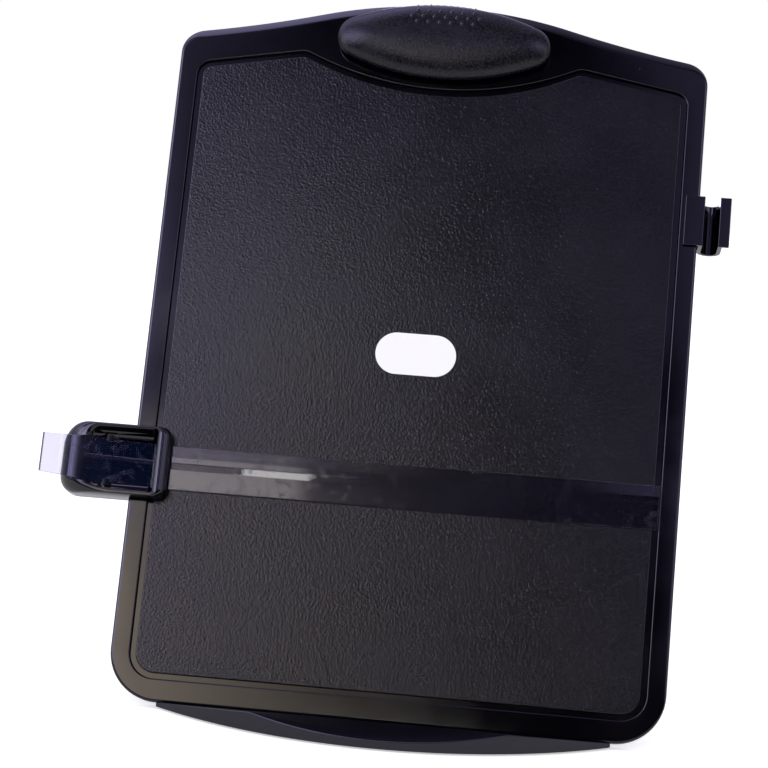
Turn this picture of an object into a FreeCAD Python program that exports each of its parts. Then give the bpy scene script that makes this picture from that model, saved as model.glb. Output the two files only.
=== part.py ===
import FreeCAD, Part

import math
import os
from types import SimpleNamespace

import Sketcher

# An easel copy holder for letter paper.  The board leans back by lean_angle.  Most pieces are
# drawn in the board's own frame, before it leans: X across, Z up the board, Y away from the
# reader, so the border's front face is the plane Y = 0 and "out" towards the reader is -Y.
# The origin of the row is the middle front foot's centre, on the desk.

DIMENSIONS = {
    # stance on the desk
    "lean_angle": 20.0,
    "leg_splay_angle": 31.0,
    "foot_proud": 0.8,
    "foot_recess": 0.8,
    "foot_radius": 6.5,
    "middle_foot_setback": 22.0,
    "side_foot_setback": 15.0,
    "side_foot_spacing": 72.0,
    # board outline
    "board_width": 254.8,
    "board_side_height": 314.2,
    "board_bottom_radius": 23.0,
    "board_top_radius": 12.0,
    "shoulder_slope": 9.5,
    "crown_slope": 15.0,
    "crown_radius": 232.0,
    # frame section
    "frame_depth": 6.0,
    "frame_skin": 2.0,
    "frame_edge_fillet": 1.2,
    "field_recess": 2.2,
    "skirt_wall": 2.4,
    "rib_width": 1.6,
    "upright_rib_pitch": 42.0,
    "cross_rib_pitch": 56.0,
    "first_cross_rib": 36.0,
    # textured panel
    "border_width": 8.9,
    "border_bottom": 10.4,
    "groove_width": 2.8,
    "panel_thickness": 1.8,
    "panel_bottom_radius": 9.0,
    "panel_top_radius": 4.5,
    "panel_top_setback": 11.0,
    "panel_slope": 10.3,
    "panel_peak_offset": 66.4,
    "panel_notch_depth": 15.2,
    # label
    "label_length": 38.0,
    "label_width": 20.0,
    "label_height": 172.0,
    "label_thickness": 0.15,
    # paper shelf
    "shelf_half_length": 103.7,
    "shelf_reach": 34.4,
    "shelf_end_setback": 0.7,
    "shelf_tail": 1.0,
    "shelf_fall_angle": 5.0,
    "scoop_floor": 3.9,
    "scoop_end": 59.0,
    "scoop_rise": 5.2,
    "flange_height": 10.0,
    "flange_half_length": 80.0,
    "flange_gap": 0.3,
    # screws
    "screw_radius": 1.25,
    "screw_hole_gap": 0.05,
    "screw_head_radius": 2.6,
    "screw_head_height": 1.6,
    "screw_bite": 3.0,
    "shelf_screw_spacing": 60.0,
    "shelf_screw_height": 5.0,
    # clip
    "clip_pin_rise": 12.6,
    "clip_centre_drop": 1.4,
    "clip_half_length": 51.2,
    "clip_half_height": 18.4,
    "clip_end_radius": 10.0,
    "clip_base": 4.0,
    "clip_top": 11.0,
    "clip_edge_fillet": 4.6,
    "clip_wall": 2.4,
    "clip_pin_reach": 5.2,
    "clip_pin_radius": 1.5,
    "clip_ear_radius": 3.0,
    "clip_ear_inner": 14.0,
    "clip_ear_thickness": 3.0,
    "clip_lug_thickness": 3.0,
    "clip_lug_radius": 2.8,
    "clip_bracket_half_length": 26.0,
    "clip_bracket_half_height": 6.0,
    "clip_bracket_thickness": 2.0,
    "clip_screw_offset": 23.0,
    "jaw_half_length": 30.0,
    "jaw_drop": 11.5,
    "jaw_blade_thickness": 2.0,
    "jaw_pad_thickness": 1.4,
    "jaw_pad_width": 4.4,
    "grip_dot_radius": 1.1,
    "grip_dot_height": 0.45,
    "grip_dot_pitch": 5.42,
    "grip_row_pitch": 2.9,
    "grip_row_rise": 10.8,
    "spring_wire": 0.7,
    "spring_coil_radius": 2.05,
    "spring_pitch": 1.0,
    "spring_turns": 8.5,
    "spring_arm": 4.5,
    # fits
    "pin_fit": 0.05,
    "moving_gap": 0.3,
    "cheek_gap": 0.4,
    # carriage
    "carriage_left": 161.0,
    "carriage_right": 109.5,
    "carriage_bottom": 92.5,
    "carriage_height": 34.2,
    "carriage_rise": 9.0,
    "carriage_left_top_radius": 14.0,
    "carriage_left_bottom_radius": 9.0,
    "carriage_right_radius": 5.0,
    "carriage_roll_radius": 12.0,
    "carriage_edge_fillet": 2.4,
    "window_left": 148.6,
    "window_right": 116.7,
    "window_bottom": 93.9,
    "window_height": 31.2,
    "window_depth": 3.4,
    "window_corner": 4.5,
    "window_sweep_corner": 7.0,
    "window_sharp_corner": 1.5,
    "carriage_hollow_side": 152.0,
    "carriage_hollow_wall": 2.3,
    "carriage_hollow_top": 2.2,
    "carriage_hollow_margin": 3.0,
    "carriage_boss_radius": 3.2,
    "carriage_screw_offset": 141.5,
    "carriage_screw_margin": 6.8,
    "carriage_plate_thickness": 2.2,
    "carriage_plate_inset": 1.6,
    "carriage_plate_right": 112.5,
    "carriage_plate_radius": 12.6,
    "glide_pad_length": 9.4,
    "glide_pad_width": 3.4,
    "glide_pad_gap": 0.1,
    # line guide
    "guide_left": 169.0,
    "guide_right": 118.0,
    "guide_bottom": 98.3,
    "guide_width": 20.6,
    "guide_tail_start": 147.0,
    "guide_tail_taper": 2.4,
    "guide_thickness": 1.2,
    "guide_bend_start": 157.5,
    "guide_slope_angle": 10.7,
    "guide_bend_radius": 8.0,
    "guide_sill_end": 118.0,
    "guide_lintel_gap": 0.35,
    "guide_lift": 0.3,
    "lug_left": 138.9,
    "lug_width": 3.2,
    "lug_wall": 1.4,
    "lug_hook": 1.6,
    "lug_head": 1.1,
    "lug_gap": 0.15,
    # pen clip
    "pen_clip_bottom": 234.7,
    "pen_clip_height": 24.2,
    "pen_radius": 3.6,
    "pen_wall": 2.1,
    "pen_flange_edge": 120.6,
    "pen_flange_thickness": 1.8,
    "pen_lip": 3.05,
    "pen_lip_thickness": 1.5,
    "pen_channel_depth": 10.2,
    "pen_side_gap": 0.35,
    # leg
    "leg_pin_height": 185.0,
    "leg_pin_depth": 11.8,
    "leg_pin_radius": 1.5,
    "leg_width": 37.0,
    "leg_thickness": 6.0,
    "leg_web": 2.4,
    "leg_rim": 2.2,
    "leg_cell_top": 16.0,
    "leg_cell_length": 40.0,
    "leg_cell_count": 4.0,
    "leg_foot_thickness": 2.0,
    "heel_reach": 7.0,
    "heel_width": 20.0,
    "heel_depth": 9.0,
    "stop_gap": 0.3,
    "bracket_thickness": 2.2,
    "bracket_half_width": 31.0,
    "bracket_below": 22.0,
    "bracket_above": 16.0,
    "bracket_ear": 3.0,
    "bracket_ear_below": 5.0,
    "bracket_web": 2.2,
    "bracket_web_reach": 8.0,
    "bracket_screw_across": 26.5,
    "bracket_screw_below": 17.0,
    "bracket_screw_above": 11.0,
    "boss_radius": 4.0,
}

FRONT_PLANE = "XZ_Plane"      # sketch x = X, sketch y = Z, normal towards the reader (-Y)
LEVEL_PLANE = "XY_Plane"      # sketch x = X, sketch y = Y, normal up (+Z)
SIDE_PLANE = "YZ_Plane"       # sketch x = Y, sketch y = Z, normal to the right (+X)

CLOSE = 1e-4                  # how near counts as the same place, in mm
BEYOND = 5.0                  # how far a cutting sketch reaches past the material, in mm


class Size:
    """A length or an angle: its value now, and the sheet expression that gives it."""

    def __init__(self, value, text):
        self.value = value
        self.text = text

    def __add__(self, other):
        return combine(self, other, "+", self.value + amount(other))

    def __sub__(self, other):
        return combine(self, other, "-", self.value - amount(other))

    def __mul__(self, other):
        return combine(self, other, "*", self.value * amount(other))

    def __truediv__(self, other):
        return combine(self, other, "/", self.value / amount(other))

    def __radd__(self, other):
        return number(other) + self

    def __rsub__(self, other):
        return number(other) - self

    def __rmul__(self, other):
        return number(other) * self

    def __neg__(self):
        return number(-1.0) * self


def number(value):
    """A plain number as a Size."""
    return Size(float(value), "(%.6f)" % value)


def amount(item):
    """The value of a Size or of a plain number."""
    return item.value if isinstance(item, Size) else float(item)


def combine(left, right, sign, value):
    """Join two sizes with an operator."""
    right_text = right.text if isinstance(right, Size) else number(right).text
    return Size(value, "(%s %s %s)" % (left.text, sign, right_text))


def sine(angle):
    return Size(math.sin(math.radians(angle.value)), "sin(%s)" % angle.text)


def cosine(angle):
    return Size(math.cos(math.radians(angle.value)), "cos(%s)" % angle.text)


def tangent(angle):
    return Size(math.tan(math.radians(angle.value)), "tan(%s)" % angle.text)


def arc_radius(half_chord, rise):
    """Radius of the arc over a chord of twice half_chord that stands rise above it."""
    return (half_chord * half_chord + rise * rise) / (rise * 2.0)


class Corner:
    """A corner of an outline and the edge to the next one: straight, or an arc.

    turn is 1 where the arc goes anticlockwise and -1 where it goes clockwise.
    """

    def __init__(self, x, y, radius=None, turn=1):
        self.x = x if isinstance(x, Size) else number(x)
        self.y = y if isinstance(y, Size) else number(y)
        self.radius = radius
        self.turn = turn

    def point(self):
        return FreeCAD.Vector(self.x.value, self.y.value, 0.0)

    def mirrored(self, radius, turn):
        return Corner(-self.x, self.y, radius, turn)


doc = FreeCAD.newDocument("copy_holder")
sheet = doc.addObject("Spreadsheet::Sheet", "sizes")
for row, (alias, value) in enumerate(DIMENSIONS.items(), start=1):
    sheet.set("A%d" % row, alias)
    sheet.set("B%d" % row, str(value))
    sheet.setAlias("B%d" % row, alias)
doc.recompute()

S = SimpleNamespace(**{alias: Size(value, "sizes." + alias) for alias, value in DIMENSIONS.items()})


# Sizes that several pieces share

HALF_BOARD = S.board_width / 2.0
BORDER_BACK = S.field_recess + S.frame_skin
HALF_PANEL = HALF_BOARD - S.border_width - S.groove_width
PANEL_FACE = S.field_recess - S.panel_thickness
PANEL_SIDE = S.board_side_height - S.panel_top_setback
BOARD_RISE = S.foot_proud + (S.frame_depth + S.shelf_tail) * sine(S.lean_angle)
UNDERSIDE = -(S.frame_depth + S.shelf_tail) * sine(S.lean_angle)
SCREW_HOLE = S.screw_radius + S.screw_hole_gap
LEG_ANGLE = S.lean_angle + S.leg_splay_angle
CLIP_PIN_HEIGHT = S.board_side_height + S.clip_pin_rise
CLIP_CENTRE = CLIP_PIN_HEIGHT - S.clip_centre_drop
JAW_HEIGHT = CLIP_PIN_HEIGHT - S.jaw_drop
CLIP_EAR_OUTER = S.clip_ear_inner + S.clip_ear_thickness
CLIP_LUG_INNER = CLIP_EAR_OUTER + S.cheek_gap
CLIP_LUG_OUTER = CLIP_LUG_INNER + S.clip_lug_thickness
CLIP_CEILING = S.clip_top - S.clip_wall
REAR_GAP = S.frame_depth + S.moving_gap
CARRIAGE_TOP = S.carriage_bottom + S.carriage_height
CHANNEL_WALL = HALF_BOARD + S.pen_side_gap
EAR_INNER = S.leg_width / 2.0 + S.cheek_gap
EAR_OUTER = EAR_INNER + S.bracket_ear
BRACKET_BACK = S.frame_depth + S.bracket_thickness
HALF_LEG = S.leg_thickness / 2.0
PIN_Y = S.middle_foot_setback + S.leg_pin_depth * cosine(S.lean_angle) + S.leg_pin_height * sine(
    S.lean_angle)
PIN_Z = BOARD_RISE - S.leg_pin_depth * sine(S.lean_angle) + S.leg_pin_height * cosine(
    S.lean_angle)


# Document helpers

def bind(item, place, size):
    """Tie a property to the sheet; a size made of plain numbers alone is simply set."""
    item.setExpression(place, size.text)


def stand_on_desk(item):
    """Lean an item drawn in the board's frame back, and set it at its height on the desk."""
    item.Placement = FreeCAD.Placement(
        FreeCAD.Vector(0, S.middle_foot_setback.value, BOARD_RISE.value),
        FreeCAD.Rotation(FreeCAD.Vector(-1, 0, 0), S.lean_angle.value))
    bind(item, "Placement.Rotation.Angle", S.lean_angle)
    bind(item, "Placement.Base.y", S.middle_foot_setback)
    bind(item, "Placement.Base.z", BOARD_RISE)


def new_body(label, leaning=True):
    """A body drawn in the board's frame, which leans, or level with the desk."""
    body = doc.addObject("PartDesign::Body", label)
    body.Label = label
    if leaning:
        stand_on_desk(body)
    return body


def new_sketch(body, plane, offset=None, slant=None):
    """A sketch on one of the body's own planes, moved along its normal by offset.

    slant leans the sketch's y axis over, about its x axis.
    """
    sketch = body.newObject("Sketcher::SketchObject", body.Name + "_sketch")
    support = [item for item in body.Origin.OriginFeatures if item.Role == plane][0]
    sketch.AttachmentSupport = [(support, "")]
    sketch.MapMode = "FlatFace"
    shift = FreeCAD.Vector(0, 0, offset.value if offset else 0.0)
    turn = FreeCAD.Rotation(FreeCAD.Vector(1, 0, 0), slant.value if slant else 0.0)
    sketch.AttachmentOffset = FreeCAD.Placement(shift, turn)
    if offset:
        bind(sketch, "AttachmentOffset.Base.z", offset)
    if slant:
        bind(sketch, "AttachmentOffset.Rotation.Angle", slant)
    return sketch


def arc_between(start, end, radius, turn):
    """The shorter arc of that radius from start to end."""
    chord = end - start
    reach = math.sqrt(max(radius ** 2 - (chord.Length / 2.0) ** 2, 0.0))
    left = FreeCAD.Vector(-chord.y, chord.x, 0.0).normalize()
    centre = (start + end) / 2.0 + left * reach * turn
    first, last = (start, end) if turn > 0 else (end, start)
    first_angle = math.atan2(first.y - centre.y, first.x - centre.x)
    last_angle = math.atan2(last.y - centre.y, last.x - centre.x)
    circle = Part.Circle(centre, FreeCAD.Vector(0, 0, 1), radius)
    return Part.ArcOfCircle(circle, first_angle, last_angle)


def pin_point(sketch, edge, end, corner):
    """Hold one end of an edge at a corner's place."""
    for kind, size in (("DistanceX", corner.x), ("DistanceY", corner.y)):
        index = sketch.addConstraint(Sketcher.Constraint(kind, -1, 1, edge, end, size.value))
        bind(sketch, "Constraints[%d]" % index, size)


def pin_radius(sketch, edge, radius):
    index = sketch.addConstraint(Sketcher.Constraint("Radius", edge, radius.value))
    bind(sketch, "Constraints[%d]" % index, radius)


def draw_outline(sketch, corners):
    """A closed outline of lines and arcs, fully held by its corners and radii."""
    edges = []
    for corner, following in zip(corners, corners[1:] + corners[:1]):
        if corner.radius is None:
            curve = Part.LineSegment(corner.point(), following.point())
        else:
            curve = arc_between(
                corner.point(), following.point(), corner.radius.value, corner.turn)
        forward = corner.radius is None or corner.turn > 0
        edges.append((sketch.addGeometry(curve, False), (1, 2) if forward else (2, 1)))
    for index, corner in enumerate(corners):
        edge, (start, _) = edges[index]
        previous, (_, end) = edges[index - 1]
        sketch.addConstraint(Sketcher.Constraint("Coincident", previous, end, edge, start))
        pin_point(sketch, edge, start, corner)
        if corner.radius is not None:
            pin_radius(sketch, edge, corner.radius)
    return sketch


def draw_circles(sketch, places, radius):
    """Circles of one radius at a list of (x, y) places."""
    for x, y in places:
        centre = Corner(x, y)
        circle = Part.Circle(centre.point(), FreeCAD.Vector(0, 0, 1), radius.value)
        edge = sketch.addGeometry(circle, False)
        pin_point(sketch, edge, 3, centre)
        pin_radius(sketch, edge, radius)
    return sketch


def rectangle(left, bottom, right, top):
    return [Corner(left, bottom), Corner(right, bottom), Corner(right, top), Corner(left, top)]


def rounded_rectangle(left, bottom, right, top, radii):
    """radii are those of the bottom right, top right, top left and bottom left corners."""
    low_right, top_right, top_left, low_left = radii
    return [
        Corner(left + low_left, bottom),
        Corner(right - low_right, bottom, low_right),
        Corner(right, bottom + low_right),
        Corner(right, top - top_right, top_right),
        Corner(right - top_right, top),
        Corner(left + top_left, top, top_left),
        Corner(left, top - top_left),
        Corner(left, bottom + low_left, low_left),
    ]


def symmetric_outline(right_side):
    """Close an outline about X = 0, from the corners of its right side, bottom to top.

    The last corner's edge crosses to the left side, and a straight edge closes the bottom.
    """
    left_side = []
    for index in range(len(right_side) - 1, -1, -1):
        edge = right_side[index - 1] if index else Corner(0, 0)
        left_side.append(right_side[index].mirrored(edge.radius, edge.turn))
    return right_side + left_side


def pad(body, sketch, length, backwards=False, both_ways=False):
    feature = body.newObject("PartDesign::Pad", body.Name + "_pad")
    feature.Profile = sketch
    feature.Length = length.value
    bind(feature, "Length", length)
    feature.Reversed = backwards
    if both_ways:
        feature.SideType = "Symmetric"
    sketch.Visibility = False
    return feature


def pocket(body, sketch, length, backwards=False, both_ways=False):
    """Cut a sketch into the body, against its normal unless backwards."""
    feature = body.newObject("PartDesign::Pocket", body.Name + "_pocket")
    feature.Profile = sketch
    feature.Length = length.value
    bind(feature, "Length", length)
    feature.Reversed = backwards
    if both_ways:
        feature.SideType = "Symmetric"
    sketch.Visibility = False
    return feature


def fillet(body, base, radius, wanted):
    """Round the edges of a feature whose ends all pass the test wanted(point)."""
    doc.recompute()
    names = []
    for index, edge in enumerate(base.Shape.Edges, start=1):
        if all(wanted(vertex.Point) for vertex in edge.Vertexes):
            names.append("Edge%d" % index)
    feature = body.newObject("PartDesign::Fillet", body.Name + "_fillet")
    feature.Base = (base, names)
    feature.Radius = radius.value
    bind(feature, "Radius", radius)
    return feature


def turned_pin(label, depth, height, radius, length):
    """A steel pin across the board, centred on X = 0, at that depth behind its front face."""
    body = new_body(label)
    sketch = draw_circles(new_sketch(body, SIDE_PLANE), [(depth, height)], radius)
    pad(body, sketch, length, both_ways=True)
    return body


def upright_cylinder(name, x, y, z, radius, height):
    """A cylinder that stands on (x, y, z)."""
    cylinder = doc.addObject("Part::Cylinder", name)
    bind(cylinder, "Radius", radius)
    bind(cylinder, "Height", height)
    for axis, size in (("x", x), ("y", y), ("z", z)):
        bind(cylinder, "Placement.Base." + axis, size)
    return cylinder


def gather(label, solids, leaning=True):
    """One piece of several solids, drawn in the board's frame or level with the desk."""
    group = doc.addObject("Part::Compound", label)
    group.Label = label
    group.Links = solids
    if leaning:
        stand_on_desk(group)
    return group


def screws(label, places, seat, clamped):
    """Pan-head screws driven from behind.

    Their heads sit at depth seat, and their shanks pass through clamped and then bite.
    """
    forwards = FreeCAD.Rotation(FreeCAD.Vector(1, 0, 0), 90.0)
    solids = []
    for x, z in places:
        head = upright_cylinder(label + "_head", x, seat + S.screw_head_height, z,
                                S.screw_head_radius, S.screw_head_height)
        shank = upright_cylinder(label + "_shank", x, seat, z, S.screw_radius,
                                 clamped + S.screw_bite)
        for cylinder in (head, shank):
            cylinder.Placement.Rotation = forwards
        screw = doc.addObject("Part::Fuse", label + "_one")
        screw.Base = head
        screw.Tool = shank
        solids.append(screw)
    return gather(label, solids)


# Outlines

def board_outline(inset):
    """The board's edge, drawn in by inset: arched top, soft shoulders and rounded corners."""
    half = HALF_BOARD - inset
    bottom_radius = S.board_bottom_radius - inset
    top_radius = S.board_top_radius - inset
    crown_radius = S.crown_radius - inset
    corner_x = HALF_BOARD - S.board_top_radius
    shoulder_x = corner_x + top_radius * sine(S.shoulder_slope)
    shoulder_y = S.board_side_height + top_radius * cosine(S.shoulder_slope)
    crown_x = crown_radius * sine(S.crown_slope)
    sweep = (shoulder_x - crown_x) / (sine(S.crown_slope) - sine(S.shoulder_slope))
    crown_y = shoulder_y + sweep * (cosine(S.shoulder_slope) - cosine(S.crown_slope))
    return symmetric_outline([
        Corner(HALF_BOARD - S.board_bottom_radius, inset, bottom_radius),
        Corner(half, S.board_bottom_radius),
        Corner(half, S.board_side_height, top_radius),
        Corner(shoulder_x, shoulder_y, sweep, turn=-1),
        Corner(crown_x, crown_y, crown_radius),
    ])


def field_outline(grow):
    """The panel's edge, drawn out by grow: straight sides, sloped top and a notch for the clip."""
    half = HALF_PANEL + grow
    top_radius = S.panel_top_radius + grow
    bottom = S.border_bottom + S.groove_width - grow
    slope_x = HALF_PANEL - S.panel_top_radius + top_radius * sine(S.panel_slope)
    slope_y = PANEL_SIDE + top_radius * cosine(S.panel_slope)
    peak_y = slope_y + (slope_x - S.panel_peak_offset) * tangent(S.panel_slope)
    return symmetric_outline([
        Corner(HALF_PANEL - S.panel_bottom_radius, bottom, S.panel_bottom_radius + grow),
        Corner(half, bottom + S.panel_bottom_radius + grow),
        Corner(half, PANEL_SIDE, top_radius),
        Corner(slope_x, slope_y),
        Corner(S.panel_peak_offset, peak_y,
               arc_radius(S.panel_peak_offset, S.panel_notch_depth), turn=-1),
    ])


def oval_outline(inset):
    """The clip lever's oval: two long arcs and two blunt ends, drawn in by inset."""
    half_length = S.clip_half_length - inset
    half_height = S.clip_half_height - inset
    end_radius = S.clip_end_radius - inset
    reach = half_length - end_radius
    long_radius = (reach * reach + half_height * half_height - end_radius * end_radius) / (
        (half_height - end_radius) * 2.0)
    lean = (long_radius - half_height) / (long_radius - end_radius)
    spread = reach / (long_radius - end_radius)
    join_x = reach + end_radius * spread
    join_y = end_radius * lean
    middle = CLIP_CENTRE
    return [
        Corner(join_x, middle - join_y, end_radius),
        Corner(half_length, middle, end_radius),
        Corner(join_x, middle + join_y, long_radius),
        Corner(-join_x, middle + join_y, end_radius),
        Corner(-half_length, middle, end_radius),
        Corner(-join_x, middle - join_y, long_radius),
    ]


def leaned(out, up):
    """A place in the board's frame, out from its face and up it, in level Y and Z."""
    y = up * sine(S.lean_angle) - out * cosine(S.lean_angle)
    z = up * cosine(S.lean_angle) + out * sine(S.lean_angle)
    return y, z


SHELF_SCREWS = [(S.shelf_screw_spacing * step, S.shelf_screw_height) for step in (-1, 0, 1)]
CLIP_SCREWS = [(S.clip_screw_offset * side, CLIP_PIN_HEIGHT) for side in (-1, 1)]
BRACKET_SCREWS = [
    (S.bracket_screw_across * side, height)
    for side in (-1, 1)
    for height in (S.leg_pin_height - S.bracket_screw_below,
                   S.leg_pin_height + S.bracket_screw_above)]
CARRIAGE_SCREWS = [
    (-S.carriage_screw_offset, S.carriage_bottom + S.carriage_screw_margin),
    (-S.carriage_screw_offset, CARRIAGE_TOP - S.carriage_screw_margin)]


# The board

def build_frame():
    """One moulding: border, recess for the panel, skirt, ribs, bosses and the shelf's notch."""
    body = new_body("frame")
    plate = pad(body, draw_outline(new_sketch(body, FRONT_PLANE), board_outline(number(0))),
                S.frame_depth, backwards=True)
    fillet(body, plate, S.frame_edge_fillet, lambda point: abs(point.y) < CLOSE)
    pocket(body, draw_outline(new_sketch(body, FRONT_PLANE), field_outline(S.groove_width)),
           S.field_recess)
    rear_face = -S.frame_depth
    rib_height = S.frame_depth - BORDER_BACK
    pocket(body, draw_outline(new_sketch(body, FRONT_PLANE, rear_face),
                              board_outline(S.skirt_wall)),
           rib_height, backwards=True)
    rib_top = S.board_side_height - S.border_width
    for step in range(-2, 3):
        left = S.upright_rib_pitch * step - S.rib_width / 2.0
        rib = rectangle(left, S.skirt_wall, left + S.rib_width, rib_top)
        pad(body, draw_outline(new_sketch(body, FRONT_PLANE, rear_face), rib), rib_height)
    for step in range(5):
        bottom = S.first_cross_rib + S.cross_rib_pitch * step
        rib = rectangle(S.skirt_wall - HALF_BOARD, bottom, HALF_BOARD - S.skirt_wall,
                        bottom + S.rib_width)
        pad(body, draw_outline(new_sketch(body, FRONT_PLANE, rear_face), rib), rib_height)
    for place in BRACKET_SCREWS:
        pad(body, draw_circles(new_sketch(body, FRONT_PLANE, rear_face), [place], S.boss_radius),
            rib_height)
    notch_half = S.flange_half_length + S.flange_gap
    notch = rectangle(-notch_half, -BEYOND, notch_half, S.flange_height + S.flange_gap)
    pocket(body, draw_outline(new_sketch(body, FRONT_PLANE, rear_face), notch), rib_height,
           backwards=True)
    pocket(body, draw_circles(new_sketch(body, FRONT_PLANE, -BORDER_BACK), SHELF_SCREWS,
                              SCREW_HOLE), S.screw_bite, backwards=True)
    pocket(body, draw_circles(new_sketch(body, FRONT_PLANE, rear_face), BRACKET_SCREWS,
                              SCREW_HOLE), S.screw_bite, backwards=True)
    pocket(body, draw_circles(new_sketch(body, FRONT_PLANE), CLIP_SCREWS, SCREW_HOLE),
           BORDER_BACK)
    return body


def build_panel():
    """The pebbled insert, seated on the recess's floor with a groove all round it."""
    body = new_body("panel")
    pad(body, draw_outline(new_sketch(body, FRONT_PLANE, -S.field_recess),
                           field_outline(number(0))), S.panel_thickness)
    return body


def build_label():
    """A blank stadium sticker in the middle of the panel."""
    body = new_body("label")
    radius = S.label_width / 2.0
    straight = S.label_length / 2.0 - radius
    middle = S.label_height
    stadium = [
        Corner(-straight, middle - radius),
        Corner(straight, middle - radius, radius),
        Corner(straight + radius, middle, radius),
        Corner(straight, middle + radius),
        Corner(-straight, middle + radius, radius),
        Corner(-straight - radius, middle, radius),
    ]
    pad(body, draw_outline(new_sketch(body, FRONT_PLANE, -PANEL_FACE), stadium),
        S.label_thickness)
    return body


# The paper shelf and its feet

def build_shelf():
    """A crescent wedge with a thumb scoop: its top falls a little forwards, its base is level.

    It is drawn level with the desk, about the bottom edge of the border's front face.
    """
    body = new_body("shelf", leaning=False)
    body.Placement.Base = FreeCAD.Vector(0, S.middle_foot_setback.value, BOARD_RISE.value)
    bind(body, "Placement.Base.y", S.middle_foot_setback)
    bind(body, "Placement.Base.z", BOARD_RISE)
    slope = tangent(S.lean_angle)
    fall = tangent(S.lean_angle - S.shelf_fall_angle)
    back, _ = leaned(-S.frame_depth, number(0))
    front = -S.shelf_reach - BEYOND
    wedge = [
        Corner(front, UNDERSIDE),
        Corner(back, UNDERSIDE),
        Corner(back, -back * slope),
        Corner(0, 0),
        Corner(front, -front * fall),
    ]
    pad(body, draw_outline(new_sketch(body, SIDE_PLANE), wedge), S.shelf_half_length * 2.0,
        both_ways=True)
    sagitta = S.shelf_reach + S.shelf_end_setback
    beyond_half = S.shelf_half_length + BEYOND
    waste = [
        Corner(-beyond_half, front - BEYOND),
        Corner(beyond_half, front - BEYOND),
        Corner(beyond_half, S.shelf_end_setback),
        Corner(S.shelf_half_length, S.shelf_end_setback,
               arc_radius(S.shelf_half_length, sagitta), turn=-1),
        Corner(-S.shelf_half_length, S.shelf_end_setback),
        Corner(-beyond_half, S.shelf_end_setback),
    ]
    tall = (S.shelf_reach + BEYOND) * 2.0
    pocket(body, draw_outline(new_sketch(body, LEVEL_PLANE), waste), tall, both_ways=True)
    floor = UNDERSIDE + S.scoop_floor
    scoop = [
        Corner(-S.scoop_end, floor + S.scoop_rise, arc_radius(S.scoop_end, S.scoop_rise)),
        Corner(S.scoop_end, floor + S.scoop_rise),
        Corner(S.scoop_end, floor + S.shelf_reach),
        Corner(-S.scoop_end, floor + S.shelf_reach),
    ]
    pocket(body, draw_outline(new_sketch(body, FRONT_PLANE, -front), scoop), -front)
    corners = [(-BORDER_BACK, -S.shelf_tail * slope), (-BORDER_BACK, S.flange_height),
               (-S.frame_depth, S.flange_height), (-S.frame_depth, number(0))]
    flange = [Corner(*leaned(out, up)) for out, up in corners]
    pad(body, draw_outline(new_sketch(body, SIDE_PLANE), flange), S.flange_half_length * 2.0,
        both_ways=True)
    drill = new_sketch(body, FRONT_PLANE, slant=-S.lean_angle)
    pocket(body, draw_circles(drill, SHELF_SCREWS, SCREW_HOLE), S.frame_depth)
    seats = [(number(0), -S.middle_foot_setback)]
    for side in (-1, 1):
        seats.append((S.side_foot_spacing * side, S.side_foot_setback - S.middle_foot_setback))
    seat_sketch = draw_circles(new_sketch(body, LEVEL_PLANE, UNDERSIDE), seats,
                               S.foot_radius + S.screw_hole_gap)
    pocket(body, seat_sketch, S.foot_recess, backwards=True)
    return body


def build_shelf_feet():
    """Three rubber discs let into the shelf's underside."""
    places = [(number(0), number(0))]
    for side in (-1, 1):
        places.append((S.side_foot_spacing * side, S.side_foot_setback))
    discs = [upright_cylinder("shelf_foot", x, y, number(0), S.foot_radius,
                              S.foot_proud + S.foot_recess) for x, y in places]
    return gather("shelf_feet", discs, leaning=False)


# The page clip

def build_clip_bracket():
    """A base plate on the border with two ears that hold the clip's pin."""
    body = new_body("clip_bracket")
    middle = CLIP_PIN_HEIGHT
    base = rectangle(-S.clip_bracket_half_length, middle - S.clip_bracket_half_height,
                     S.clip_bracket_half_length, middle + S.clip_bracket_half_height)
    pad(body, draw_outline(new_sketch(body, FRONT_PLANE), base), S.clip_bracket_thickness)
    radius = S.clip_ear_radius
    for start in (S.clip_ear_inner, -CLIP_EAR_OUTER):
        ear = [
            Corner(-S.clip_pin_reach, middle - radius),
            Corner(0, middle - radius),
            Corner(0, middle + radius),
            Corner(-S.clip_pin_reach, middle + radius, radius),
            Corner(-S.clip_pin_reach - radius, middle, radius),
        ]
        pad(body, draw_outline(new_sketch(body, SIDE_PLANE, start), ear), S.clip_ear_thickness)
    bore = draw_circles(new_sketch(body, SIDE_PLANE), [(-S.clip_pin_reach, middle)],
                        S.clip_pin_radius + S.pin_fit)
    pocket(body, bore, CLIP_EAR_OUTER * 2.0 + BEYOND, both_ways=True)
    pocket(body, draw_circles(new_sketch(body, FRONT_PLANE), CLIP_SCREWS, SCREW_HOLE),
           S.clip_bracket_thickness, backwards=True)
    return body


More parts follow.
